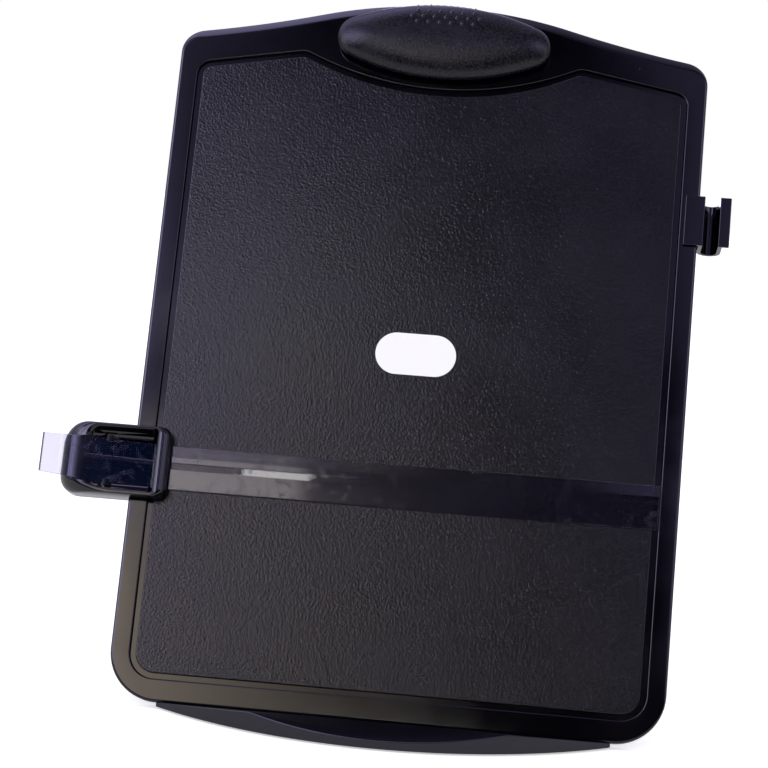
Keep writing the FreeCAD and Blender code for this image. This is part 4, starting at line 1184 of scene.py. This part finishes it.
@dataclass
class LeverDome:
    """The lever's skin, domed from its rim to its ridge, and the grip dots on it."""

    wall_top: float = 6.4
    cavity_top: float = 8.6
    margin: float = 0.02
    facing_up: float = 0.05
    crest: float = 11.4
    middle: float = 325.4
    half_length: float = 51.2
    half_height: float = 18.4
    insets: tuple[float, ...] = (0.1, 0.4, 0.9, 1.6, 2.5, 3.7, 5.2, 7.0, 9.0, 11.5, 14.0, 16.5,
                                 18.35)
    dot_radius: float = 1.1
    dot_height: float = 0.6
    dot_sides: int = 16
    dot_steps: int = 4
    dot_root: float = 0.5
    dot_pitch: float = 5.42
    row_counts: tuple[int, ...] = (6, 7, 6)
    row_pitch: float = 2.9
    row_rise: float = 10.8

    def height(self, inset: float) -> float:
        """How high the dome is at that distance in from the rim."""
        share = 1.0 - inset / self.half_height
        return self.wall_top + (self.crest - self.wall_top) * math.sqrt(1.0 - share * share)

    def mesh(self) -> Mesh:
        """Take the CAD lever's flat skin off, and close it with the dome.

        Returns:
            The lever's mesh.
        """
        form = node_form("clip_lever")
        form.transform(BOARD.matrix().inverted())
        form.normal_update()
        spent = [face for face in form.faces
                 if max(vert.co.z for vert in face.verts) > self.cavity_top + self.margin
                 or (face.calc_center_median().z > self.wall_top + self.margin
                     and face.normal.z > self.facing_up)]
        bmesh.ops.delete(form, geom=spent, context="FACES")
        rim = [edge for edge in form.edges if edge.is_boundary]
        inset = 0.0
        for following in self.insets:
            bmesh.ops.extrude_edge_only(form, edges=rim)
            rim = [edge for edge in form.edges if edge.is_boundary]
            wide = (self.half_length - following) / (self.half_length - inset)
            tall = (self.half_height - following) / (self.half_height - inset)
            for vert in {vert for edge in rim for vert in edge.verts}:
                vert.co = (vert.co.x * wide, self.middle + (vert.co.y - self.middle) * tall,
                           self.height(following))
            inset = following
        bmesh.ops.holes_fill(form, edges=rim)
        bmesh.ops.recalc_face_normals(form, faces=form.faces)
        join_flats(form)
        form.transform(BOARD.matrix())
        return finished_mesh(form, "oval_lever")

    def dots(self) -> Piece:
        """Set the rows of domed dots on the lever.

        Returns:
            The dots as one piece.
        """
        profile = [(0.0, -self.dot_root), (self.dot_radius, -self.dot_root)]
        profile += [(self.dot_radius * cosine, self.dot_height * sine)
                    for cosine, sine in quarter(self.dot_steps)[:-1]]
        profile.append((0.0, self.dot_height))
        places = []
        for row, count in enumerate(self.row_counts):
            rise = self.row_rise + (row - 1) * self.row_pitch
            for step in range(count):
                across = (step - (count - 1) / 2.0) * self.dot_pitch
                places.append(BOARD.place(across, self.middle + rise,
                                          self.height(self.half_height - rise)))
        dot = lathe("grip_dot", profile, self.dot_sides)
        return repeat_shape("grip_dots", dot, places, BOARD.turn(*AXES), GLOSS_SHELL)


@dataclass
class PageClip:
    """The oval lever with its grip dots, the jaw lining, and the hinge under it."""

    lever_edge: float = 0.4
    dome: LeverDome = field(default_factory=LeverDome)

    def build(self) -> None:
        """Build and place the clip's pieces."""
        lever = new_piece("oval_lever", self.dome.mesh(), LEVER_SKIN, self.lever_edge)
        settle(lever, Body.CLIP, LEVER_SKIN.slot, "clip_lever")
        settle(self.dome.dots(), Body.CLIP, GLOSS_SHELL.slot)
        EasedNode("clip_jaw_pad", "jaw_lining", SOFT_PAD, 0.35, Body.CLIP).build()
        EasedNode("clip_bracket", "clip_saddle", INNER_PLASTIC, 0.3).build()
        EasedNode("clip_pin", "clip_hinge_pin", STEEL, 0.3).build()
        dress_node("clip_spring", STEEL)


@dataclass
class LineGuide:
    """The clear strip: flat at its tip, sloping down through the carriage, flat on the page."""

    left: float = 169.0
    right: float = 118.0
    low_edge: float = 98.3
    width: float = 20.6
    tail_start: float = 147.0
    tail_taper: float = 2.4
    thickness: float = 1.2
    bend_start: float = 157.5
    slope: float = math.radians(10.7)
    bend_end: float = 149.5
    bend_ease: float = 2.6
    second_bend: float = 8.0
    high_side: float = 9.0
    low_side: float = 0.3
    crease_low: float = 9.3
    crease_high: float = 12.4
    crease_depth: float = 0.2
    crease_least: float = 0.25
    crease_lip: float = 0.35
    crease_fade: Flat = (-10.0, -45.0)
    fold: float = 15.4
    fold_drop: float = 0.34
    fold_least: float = 0.06
    fold_ease: float = 0.2
    page_fade: Flat = (-119.0, -116.0)
    edge_ease: float = 0.14
    end_run: float = 0.15
    end_inset: float = 0.12
    tip_steps: int = 4
    bend_steps: int = 18
    second_steps: int = 6
    page_steps: int = 46

    def path(self) -> list[tuple[float, float, float]]:
        """Sample the underside as (across, out, slope), from the tip to the far end."""
        half_slope = math.tan(self.slope / 2.0)
        outer = self.second_bend + self.thickness
        high_x = -self.bend_start
        low_x = high_x + (self.high_side - self.low_side) / math.tan(self.slope)
        stations = [(-self.left + self.end_run, self.high_side, 0.0)]
        steps = self.bend_steps
        turns = [self.slope * (1.0 - (1.0 - step / steps) ** self.bend_ease)
                 for step in range(steps + 1)]
        falls = [0.0]
        for turn, following in zip(turns, turns[1:]):
            falls.append(falls[-1] + math.tan((turn + following) / 2.0) / steps)
        length = (self.bend_start - self.bend_end) * math.tan(self.slope) / falls[-1]
        first = -self.bend_end - length
        stations += [(-self.left + (self.left + first) * step / self.tip_steps, self.high_side,
                      0.0) for step in range(1, self.tip_steps)]
        stations += [(first + length * step / steps, self.high_side - length * falls[step], turn)
                     for step, turn in enumerate(turns)]
        last = low_x + outer * half_slope
        for step in range(self.second_steps + 1):
            turn = self.slope * (1.0 - step / self.second_steps)
            stations.append((last - outer * math.sin(turn),
                             self.low_side + outer * (1.0 - math.cos(turn)), turn))
        page = self.right - self.end_run - last
        stations += [(last + page * step / self.page_steps, self.low_side, 0.0)
                     for step in range(1, self.page_steps + 1)]
        return stations

    def section(self, across: float, inset: float) -> list[Flat]:
        """The strip's cross-section as (up, height) at a place along it.

        Args:
            across: The place, in millimetres to the reader's right.
            inset: How far the section is drawn in, for the strip's eased ends.

        Returns:
            The closed section, from the lower edge round the underside and back over the top.
        """
        taper = progress(across, -self.tail_start, -self.left)
        low = self.low_edge + self.tail_taper * taper + inset
        high = self.low_edge + self.width - inset
        full, ease = self.thickness - inset, self.edge_ease
        left_share = eased(progress(across, *self.crease_fade))
        on_page = progress(across, *self.page_fade)
        least = self.crease_least
        groove = self.crease_depth * (least + (1.0 - least) * left_share) * on_page
        drop = (self.fold_drop * (1.0 - left_share) + self.fold_least) * on_page
        crease_low = self.low_edge + self.crease_low
        crease_high = self.low_edge + self.crease_high
        fold = self.low_edge + self.fold
        return [
            (low, inset + ease), (low + ease, inset), (crease_low, inset), (fold, inset),
            (high - ease, inset), (high, inset + ease),
            (high, full - drop - ease), (high - ease, full - drop),
            ((fold + high) / 2.0, full - drop * 0.5), (fold + self.fold_ease, full - 0.02),
            (fold - self.fold_ease, full), (crease_high + self.crease_lip, full),
            (crease_high, full - groove),
            ((crease_low + crease_high) / 2.0, full - groove * 0.5), (crease_low, full),
            ((low + crease_low) / 2.0, full), (low + ease, full), (low, full - ease),
        ]

    def mesh(self) -> Mesh:
        """Loft the strip along its path.

        Returns:
            The strip's mesh.
        """
        stations = self.path()
        ends = [(-self.left, *stations[0][1:]), *stations, (self.right, *stations[-1][1:])]
        rings = []
        for number, (across, out, turn) in enumerate(ends):
            inset = self.end_inset if number in (0, len(ends) - 1) else 0.0
            rings.append([(across + height * math.sin(turn), up, out + height * math.cos(turn))
                          for up, height in self.section(across, inset)])
        shell = Shell()
        shell.loft(rings)
        return shell.mesh("clear_line_guide")


@dataclass(frozen=True)
class Bound:
    """One ring of the housing: where each side lies and how high it is, and its four corners.

    Corners go bottom right, top right, top left, bottom left, each with its two radii.
    """

    left: Flat
    bottom: Flat
    right: Flat
    top: Flat
    corners: tuple[Flat, Flat, Flat, Flat]

    def ring(self, steps: int = 9) -> Ring:
        """Sample the ring anticlockwise from the bottom right corner.

        Args:
            steps: How many steps each corner has.

        Returns:
            The ring's places in the board's frame.
        """
        sides = [self.bottom, self.right, self.top, self.left, self.bottom]
        places = []
        for number, (wide, tall) in enumerate(self.corners):
            across = self.right[0] - wide if number < 2 else self.left[0] + wide
            up = self.top[0] - tall if number in (1, 2) else self.bottom[0] + tall
            before, after = sides[number][1], sides[number + 1][1]
            for step in range(steps + 1):
                share = step / steps
                angle = math.radians(90.0 * (number - 1 + share))
                places.append((across + wide * math.cos(angle), up + tall * math.sin(angle),
                               before + (after - before) * eased(share)))
        return places

    def toward(self, other: "Bound", share: float, rise: float) -> "Bound":
        """Blend to another bound: places and corners by share, heights by rise."""
        def side(mine: Flat, theirs: Flat) -> Flat:
            return (mine[0] + (theirs[0] - mine[0]) * share,
                    mine[1] + (theirs[1] - mine[1]) * rise)
        corners = tuple(tuple(mine + (theirs - mine) * share for mine, theirs in zip(*pair))
                        for pair in zip(self.corners, other.corners))
        return Bound(side(self.left, other.left), side(self.bottom, other.bottom),
                     side(self.right, other.right), side(self.top, other.top), corners)


@dataclass
class Housing:
    """The carriage's glossy housing: broad left roll, dished window, strip channel and lugs."""

    rear: Bound = Bound((-161.0, -6.3), (92.5, -6.3), (-109.5, -6.3), (126.7, -6.3),
                        ((5.0, 5.0), (5.0, 5.0), (11.5, 11.5), (9.0, 9.0)))
    foot: Bound = Bound((-161.0, -3.0), (92.5, 1.0), (-109.5, 5.0), (126.7, 3.0),
                        ((5.0, 5.0), (5.0, 5.0), (11.5, 11.5), (9.0, 9.0)))
    crest: Bound = Bound((-149.4, 9.0), (93.5, 9.0), (-113.4, 9.0), (125.4, 9.0),
                         ((2.6, 2.6), (3.4, 3.4), (6.0, 6.0), (16.0, 5.2)))
    lip: Bound = Bound((-148.9, 9.0), (94.5, 9.0), (-113.6, 9.0), (125.3, 9.0),
                       ((1.6, 1.6), (2.0, 2.0), (5.4, 5.4), (17.0, 4.6)))
    inner: Bound = Bound((-147.2, 8.1), (94.9, 8.6), (-116.5, 5.6), (124.9, 8.5),
                         ((1.2, 1.2), (1.2, 1.2), (4.6, 4.6), (17.0, 4.0)))
    ledge: Bound = Bound((-145.6, 6.9), (97.4, 7.9), (-116.8, 4.8), (120.1, 7.5),
                         ((0.6, 0.6), (0.6, 0.6), (1.2, 1.2), (1.2, 0.8)))
    chamfer: Bound = Bound((-145.5, 6.7), (97.6, 7.5), (-116.9, 4.6), (119.6, 6.9),
                           ((0.6, 0.6), (0.6, 0.6), (1.1, 1.1), (1.1, 0.8)))
    floor: Bound = Bound((-145.4, 5.6), (97.7, 5.6), (-117.0, 5.6), (119.5, 5.6),
                         ((0.5, 0.5), (0.5, 0.5), (1.0, 1.0), (1.0, 0.6)))
    floor_drop: float = 0.25
    roll_steps: int = 9
    lip_steps: int = 4
    wall_steps: int = 4
    # The strip's channel: its sides, the end of its sloping floor, and the slot over the page.
    channel: Flat = (98.1, 119.2)
    sill: float = -118.0
    slot_start: float = -116.9
    slot_span: Flat = (-1.0, 2.86)
    # The board's slot: its left side and its front, and how far it runs up.
    board_slot: Flat = (-127.75, 0.3)
    board_span: Flat = (80.0, 140.0)
    right_end: float = -100.0
    beyond: float = 20.0
    lug_span: Flat = (-138.9, -135.7)
    lug_root: float = 2.0
    lug_gap: float = 0.15
    lug_thickness: float = 1.4
    lug_hook: float = 1.6
    lug_head: Flat = (6.86, 7.96)
    lug_edge: float = 0.28
    pocket: Flat = (-140.4, -134.6)
    pocket_floor: float = 4.2
    pocket_overlap: float = 1.0
    pocket_width: float = 3.6

    def rings(self, guide: "LineGuide") -> list[Ring]:
        """The housing's rings, from its rear edge round the roll and into the window.

        Args:
            guide: The strip, whose slope the window's floor follows.

        Returns:
            The rings in order.
        """
        rings = [self.rear.ring()]
        rings += [self.foot.toward(self.crest, 1.0 - cosine, sine).ring()
                  for cosine, sine in quarter(self.roll_steps)]
        rings += [self.lip.toward(self.inner, sine, 1.0 - cosine).ring()
                  for cosine, sine in quarter(self.lip_steps)]
        for step in range(self.wall_steps):
            share = (step + 1) / self.wall_steps
            rings.append(self.inner.toward(self.ledge, share, share).ring())
        rings.append(self.chamfer.ring())
        descent = math.tan(guide.slope)
        rings.append([(across, up, guide.high_side - self.floor_drop
                       - (across + guide.bend_start) * descent)
                      for across, up, _ in self.floor.ring()])
        return rings

    @staticmethod
    def prism(shell: Shell, profile: Sequence[Flat], low: float, high: float,
              along_up: bool) -> None:
        """Add a straight prism to a form.

        Args:
            shell: The form.
            profile: Its outline: (across, out) if it runs up the board, or else (up, out).
            low: Where it starts.
            high: Where it ends.
            along_up: Whether it runs up the board, rather than across it.
        """
        shell.loft([[(first, end, out) if along_up else (end, first, out)
                     for first, out in profile] for end in (low, high)])

    def cutter(self, guide: "LineGuide") -> Mesh:
        """The space that is cut from the housing: board slot, strip channel and lug pockets."""
        start, end, beyond = -guide.bend_start, self.right_end, self.beyond
        sill_out = guide.high_side - (self.sill - start) * math.tan(guide.slope)
        below, roof = self.slot_span
        shell = Shell()
        self.prism(shell, [(start, beyond), (start, guide.high_side), (self.sill, sill_out),
                           (self.sill, below), (end, below), (end, roof),
                           (self.slot_start, roof), (self.slot_start, beyond)],
                   *self.channel, True)
        left, front = self.board_slot
        self.prism(shell, [(left, front), (end, front), (end, -beyond), (left, -beyond)],
                   *self.board_span, True)
        low, high = self.channel
        for edge, side in ((high - self.pocket_overlap, 1.0), (low + self.pocket_overlap, -1.0)):
            far = edge + side * self.pocket_width
            self.prism(shell, [(edge, self.pocket_floor), (edge, beyond), (far, beyond),
                               (far, self.pocket_floor)], *self.pocket, False)
        return shell.mesh("housing_cutter")

    def lugs(self, guide: "LineGuide") -> Mesh:
        """The two hooked lugs that hold the strip down by its edges."""
        shell = Shell()
        base, top = self.lug_head
        start, end = self.lug_span
        fall = (end - start) * math.tan(guide.slope)
        for edge, side in ((guide.low_edge + guide.width, 1.0), (guide.low_edge, -1.0)):
            near, hook = edge + side * self.lug_gap, edge - side * self.lug_hook
            far = near + side * self.lug_thickness
            profile = [(near, self.lug_root), (near, base), (hook, base), (hook, top), (far, top),
                       (far, self.lug_root)]
            shell.loft([[(across, up, out - drop) for up, out in profile]
                        for across, drop in ((start, 0.0), (end, fall))])
        return shell.mesh("strip_lugs")

    def mesh(self, guide: "LineGuide") -> Mesh:
        """Loft the housing, cut it and add its lugs.

        Args:
            guide: The strip that it carries.

        Returns:
            The finished mesh.
        """
        shell = Shell()
        shell.loft(self.rings(guide))
        housing = cut_away("housing_blank", shell.mesh("housing_blank"), self.cutter(guide))
        lugs = new_piece("strip_lugs", self.lugs(guide), GLOSS_SHELL, self.lug_edge)
        form = bmesh.new()
        form.from_mesh(housing)
        form.from_mesh(lugs.data)
        bpy.data.objects.remove(lugs)
        return finished_mesh(form, "carriage_housing")


@dataclass
class Carriage:
    """The sliding housing, its rear plate and felt, and the clear line guide it carries."""

    guide: LineGuide = field(default_factory=LineGuide)
    housing: Housing = field(default_factory=Housing)

    def build(self) -> None:
        """Build and place the carriage's pieces."""
        housing = new_piece("carriage_housing", self.housing.mesh(self.guide), GLOSS_SHELL,
                            sharp_above=30.0)
        settle(housing, Body.CARRIAGE, GLOSS_SHELL.slot, "carriage_front")
        EasedNode("carriage_back", "carriage_plate", GLOSS_SHELL, 0.4, Body.CARRIAGE).build()
        EasedNode("carriage_glide_pad", "glide_felt_block", FELT, 0.3, Body.CARRIAGE).build()
        guide = new_piece("clear_line_guide", self.guide.mesh(), CLEAR_STRIP, sharp_above=3.0)
        settle(guide, Body.CARRIAGE, CLEAR_STRIP.slot, "line_guide")


@dataclass
class PenClip:
    """The C-shaped pen channel on the right edge."""

    edge: float = 0.4

    def build(self) -> None:
        """Build and place the pen clip."""
        EasedNode("pen_clip", "pen_channel", GLOSS_SHELL, self.edge, Body.PEN_CLIP).build()


@dataclass
class Easel:
    """The folding leg, its sole, and the bracket and pin that carry it."""

    moulded_edge: float = 0.4
    small_edge: float = 0.3

    def build(self) -> None:
        """Build and place the leg's pieces."""
        EasedNode("leg_bracket", "leg_saddle", INNER_PLASTIC, self.moulded_edge).build()
        EasedNode("leg_pin", "leg_hinge_pin", STEEL, self.small_edge).build()
        EasedNode("leg", "easel_leg", INNER_PLASTIC, self.moulded_edge, Body.LEG).build()
        EasedNode("leg_foot", "leg_sole", FOOT_RUBBER, self.small_edge, Body.LEG).build()


@dataclass
class ScrewSet:
    """One group of pan-head screws, seen from behind the board."""

    node: str
    body: Body
    seat: float
    places: list[Flat]


@dataclass
class Hardware:
    """The cross-head screws that hold the shelf, clip, carriage and leg bracket."""

    head_radius: float = 2.6
    head_height: float = 1.6
    shank_radius: float = 1.25
    shank_length: float = 4.5
    tip_radius: float = 0.75
    tip_length: float = 0.6
    head_ease: Flat = (0.1, 0.12)
    head_wall: float = 0.45
    head_steps: int = 6
    recess_length: float = 1.55
    recess_width: float = 0.36
    recess_depth: float = 0.9
    head_sides: int = 28

    def sets(self) -> list[ScrewSet]:
        """The screw groups: depth of their seats and places on the board."""
        return [
            ScrewSet("shelf_screws", Body.STAND, 6.0, [(-60.0, 5.0), (0.0, 5.0), (60.0, 5.0)]),
            ScrewSet("clip_screws", Body.STAND, 4.2, [(-23.0, 326.8), (23.0, 326.8)]),
            ScrewSet("carriage_screws", Body.CARRIAGE, 8.5, [(-141.5, 99.3), (-141.5, 119.9)]),
            ScrewSet("bracket_screws", Body.STAND, 8.2, [
                (side * 26.5, height) for side in (-1, 1) for height in (168.0, 196.0)]),
        ]

    def shape(self) -> Mesh:
        """Turn a screw whose head points along +Z from its seat, and sink a cross in it.

        Returns:
            One screw's mesh round its own origin.
        """
        radius, height, wall = self.head_radius, self.head_height, self.head_wall
        profile = [(0.0, -self.shank_length), (self.tip_radius, -self.shank_length),
                   (self.shank_radius, self.tip_length - self.shank_length),
                   (self.shank_radius, 0.0), (radius - self.head_ease[0], 0.0),
                   (radius, self.head_ease[1]), (radius, height * wall)]
        profile += [(radius * cosine, height * (wall + (1.0 - wall) * sine))
                    for cosine, sine in quarter(self.head_steps)[1:-1]]
        profile.append((0.0, height))
        cross = bmesh.new()
        for long_side, short_side in ((self.recess_length, self.recess_width),
                                      (self.recess_width, self.recess_length)):
            size = Matrix.Diagonal((2 * long_side * MM, 2 * short_side * MM,
                                    2 * self.recess_depth * MM, 1.0))
            bmesh.ops.create_cube(cross, size=1.0,
                                  matrix=Matrix.Translation((0, 0, height * MM)) @ size)
        return cut_away("screw_blank", lathe("screw_blank", profile, self.head_sides),
                        finished_mesh(cross, "screw_cross"))

    def build(self) -> None:
        """Drive every screw."""
        backwards = BOARD.turn(*AXES) @ Matrix.Rotation(math.pi, 4, "X")
        for screw_set in self.sets():
            places = [BOARD.place(x, y, -screw_set.seat) for x, y in screw_set.places]
            screws = repeat_shape(screw_set.node + "_set", self.shape(), places, backwards, STEEL)
            settle(screws, screw_set.body, STEEL.slot, screw_set.node)


# The studio

@dataclass
class Softbox:
    """A soft rectangular lamp that faces a place."""

    name: str
    centre: Vector
    target: Vector
    width: float
    height: float
    radiance: float
    colour: str = "#ffffff"

    def build(self) -> None:
        """Hang the lamp. Its power follows from its radiance and its area."""
        lamp = bpy.data.lights.new(self.name, "AREA")
        lamp.shape = "RECTANGLE"
        lamp.size = self.width
        lamp.size_y = self.height
        lamp.energy = self.radiance * math.pi * self.width * self.height
        lamp.color = linear(self.colour)[:3]
        holder = new_object(self.name, lamp)
        direction = self.target - self.centre
        holder.matrix_world = Matrix.Translation(self.centre) @ direction.to_track_quat(
            "-Z", "Y").to_matrix().to_4x4()
        holder.visible_camera = False


@dataclass(frozen=True)
class WallGlow:
    """A softly lit stretch of the room ahead, as gloss mirrors it.

    Its four sides are slopes off the board's normal: 0.1 is 100 mm aside for each metre away.
    Each side gives the slope where the light is full, then the slope where it has faded out.
    """

    colour: str
    radiance: float
    left: Flat
    right: Flat
    low: Flat
    high: Flat

    def add(self, tree: Tree, across: Socket, up: Socket) -> Socket:
        """Add this stretch to the world.

        Args:
            tree: The world's tree.
            across: The slope to the reader's right.
            up: The slope up the board.

        Returns:
            The shader socket of its light.
        """
        strength = None
        for slope, (full, faded) in ((across, self.left), (across, self.right),
                                     (up, self.low), (up, self.high)):
            share = fade(tree, slope, faded, full, 1.0 if strength else self.radiance)
            strength = compute(tree, "MULTIPLY", strength, share) if strength else share
        return add_node(tree, "ShaderNodeBackground", {"Color": linear(self.colour)},
                        {"Strength": strength}).outputs[0]


@dataclass
class Studio:
    """A pale floor, a plain world, soft lamps and the camera."""

    floor_half: float = 4.0
    floor_glow: float = 0.45
    ambient: float = 0.95
    room_colour: str = "#07060b"
    ceiling_colour: str = "#d4cdff"
    behind_colour: str = "#e0dbff"
    ceiling_start: float = 0.4
    ceiling_full: float = 0.9
    behind_start: float = -0.55
    behind_full: float = 0.3
    walls: tuple[WallGlow, ...] = (
        WallGlow("#ffeedc", 4.6, (-0.21, -0.26), (-0.255, -0.03), (0.03, -0.06), (0.1, 0.2)),
        WallGlow("#fff8ec", 1.9, (-0.19, -0.2), (-0.116, -0.104), (0.158, 0.15), (0.187, 0.196)),
        WallGlow("#cfcaff", 4.2, (-0.8, -1.6), (-0.34, -0.24), (0.02, -0.15), (0.5, 0.8)),
        WallGlow("#cfcaff", 2.0, (0.4, 0.3), (0.8, 1.6), (0.2, 0.05), (0.5, 0.8)),
        WallGlow("#c6bfff", 1.6, (-0.6, -1.0), (-0.3, -0.06), (0.2, 0.11), (0.22, 0.34)),
        WallGlow("#e6e0ff", 2.5, (-0.6, -1.0), (-0.32, -0.17), (0.12, 0.04), (0.23, 0.34)),
        WallGlow("#c6bfff", 0.55, (-0.6, -1.2), (-0.19, -0.12), (0.262, 0.225), (0.6, 1.0)),
        WallGlow("#c6bfff", 0.6, (0.045, 0.01), (0.5, 1.0), (0.262, 0.225), (0.6, 1.0)),
        WallGlow("#cac4ff", 2.6, (-6.0, -9.0), (-0.45, 0.3), (1.6, 1.0), (50.0, 100.0)),
        WallGlow("#cac4ff", 3.0, (0.09, 0.078), (0.14, 0.168), (0.13, 0.1), (0.22, 0.25)),
        WallGlow("#4f8dff", 0.13, (0.172, 0.16), (0.24, 0.3), (0.1, 0.06), (0.22, 0.27)),
        WallGlow("#ffffff", 16.0, (-0.07, -0.08), (-0.05, -0.04), (0.0, -0.01), (0.025, 0.035)),
    )
    focal_mm: float = 107.8125
    camera_place: Place = (68.05, -71.56, 1049.41)
    camera_right: Place = (0.99399, 0.09359, -0.05688)
    camera_up: Place = (-0.07913, 0.9728, 0.21772)
    camera_back: Place = (0.07571, -0.21191, 0.97436)

    def add_floor(self) -> None:
        """Lay the floor. It keeps the object's shadow and looks white to the camera."""
        mesh = bpy.data.meshes.new("floor")
        half = self.floor_half
        mesh.from_pydata([(-half, -half, 0), (half, -half, 0), (half, half, 0), (-half, half, 0)],
                         [], [(0, 1, 2, 3)])
        floor = new_object("floor", mesh)
        material = bpy.data.materials.new("pale_floor")
        tree = empty_tree(material)
        pale = add_node(tree, "ShaderNodeBsdfDiffuse", {"Color": linear("#f4f4f6")})
        glow = add_node(tree, "ShaderNodeEmission", {
            "Color": linear("#ffffff"), "Strength": self.floor_glow})
        both = add_node(tree, "ShaderNodeAddShader", links={
            0: pale.outputs["BSDF"], 1: glow.outputs["Emission"]})
        path = add_node(tree, "ShaderNodeLightPath").outputs
        seen = compute(tree, "MAXIMUM", path["Is Camera Ray"], path["Is Transmission Ray"])
        mixed = mix_shaders(tree, seen, pale.outputs["BSDF"], both.outputs["Shader"])
        add_node(tree, "ShaderNodeOutputMaterial", links={"Surface": mixed})
        floor.data.materials.append(material)

    def add_world(self) -> None:
        """Light the world evenly. Gloss sees a room: dim ahead, white behind, with lit walls."""
        world = bpy.data.worlds.new("studio")
        bpy.context.scene.world = world
        tree = empty_tree(world)
        path = add_node(tree, "ShaderNodeLightPath").outputs
        direction = add_node(tree, "ShaderNodeTexCoord").outputs["Generated"]
        parts = add_node(tree, "ShaderNodeSeparateXYZ", links={"Vector": direction})
        ceiling = fade(tree, parts.outputs["Z"], self.ceiling_start, self.ceiling_full)
        behind = add_node(tree, "ShaderNodeMix", {
            "data_type": "RGBA", 6: linear(self.behind_colour),
            7: linear(self.ceiling_colour)}, {"Factor": ceiling})
        ahead = fade(tree, parts.outputs["Y"], self.behind_start, self.behind_full)
        room = add_node(tree, "ShaderNodeMix", {
            "data_type": "RGBA", 6: linear(self.room_colour)}, {
            "Factor": ahead, 7: behind.outputs[2]})
        mirrored = add_node(tree, "ShaderNodeBackground", {"Strength": 1.0},
                            {"Color": room.outputs[2]}).outputs[0]
        across, up = self.slopes(tree, direction)
        for glow in self.walls:
            mirrored = add_node(tree, "ShaderNodeAddShader", links={
                0: mirrored, 1: glow.add(tree, across, up)}).outputs[0]
        ambient = add_node(tree, "ShaderNodeBackground", {
            "Color": linear("#fbfaff"), "Strength": self.ambient})
        white = add_node(tree, "ShaderNodeBackground", {
            "Color": linear("#ffffff"), "Strength": 1.0})
        clear = compute(tree, "MAXIMUM", path["Is Glossy Ray"], path["Is Transmission Ray"])
        indirect = mix_shaders(tree, clear, ambient.outputs[0], mirrored)
        seen = mix_shaders(tree, path["Is Camera Ray"], indirect, white.outputs[0])
        add_node(tree, "ShaderNodeOutputWorld", links={"Surface": seen})

    @staticmethod
    def slopes(tree: Tree, direction: Socket) -> tuple[Socket, Socket]:
        """Turn a direction into its slopes off the board's normal.

        Args:
            tree: The world's tree.
            direction: The direction, of length 1.

        Returns:
            The slope to the reader's right and the slope up the board.
        """
        along = [add_node(tree, "ShaderNodeVectorMath", {
            "operation": "DOT_PRODUCT", 1: axis}, {0: direction}).outputs["Value"]
            for axis in BOARD.turn(*AXES).to_3x3().transposed()]
        ahead = add_node(tree, "ShaderNodeMath", {"operation": "MAXIMUM", 1: 0.02},
                         {0: along[2]})
        across, up = (compute(tree, "DIVIDE", side, ahead.outputs[0]) for side in along[:2])
        return across, up

    def add_lamps(self) -> None:
        """Hang a tall box on either side and a small bright box."""
        middle = BOARD.place(0.0, 160.0, 0.0)
        boxes = [
            Softbox("left_box", Vector((-1.55, -0.75, 0.8)), middle, 0.8, 1.2, 2.8, "#e9e8ff"),
            Softbox("right_box", Vector((1.6, -0.7, 0.8)), middle, 0.6, 1.2, 1.3, "#f1f0ff"),
            Softbox("small_box", BOARD.place(-247.0, 557.0, 1490.0),
                    BOARD.place(-62.0, 110.0, 0.0), 0.075, 0.12, 9.0, "#ffffff"),
        ]
        for box in boxes:
            box.build()

    def add_camera(self) -> None:
        """Set the camera square to the view that the board's frame gives."""
        turn = BOARD.turn(self.camera_right, self.camera_up, self.camera_back)
        camera = bpy.data.cameras.new("camera")
        camera.lens = self.focal_mm
        camera.sensor_width = 36.0
        camera.clip_end = 50.0
        holder = new_object("camera", camera)
        holder.matrix_world = Matrix.Translation(BOARD.place(*self.camera_place)) @ turn
        bpy.context.scene.camera = holder

    def build(self) -> None:
        """Set up the whole studio."""
        bpy.context.scene.view_settings.view_transform = "Standard"
        self.add_floor()
        self.add_world()
        self.add_lamps()
        self.add_camera()


def main() -> None:
    """Build the studio and every sub-assembly in order."""
    logging.basicConfig(level=logging.INFO, format="%(name)s: %(message)s")
    for part in (Studio(), Board(), RearRibs(), PaperShelf(), PageClip(), Carriage(), PenClip(),
                 Easel(), Hardware()):
        log.info("building %s", type(part).__name__)
        part.build()


if __name__ == "__main__":
    main()
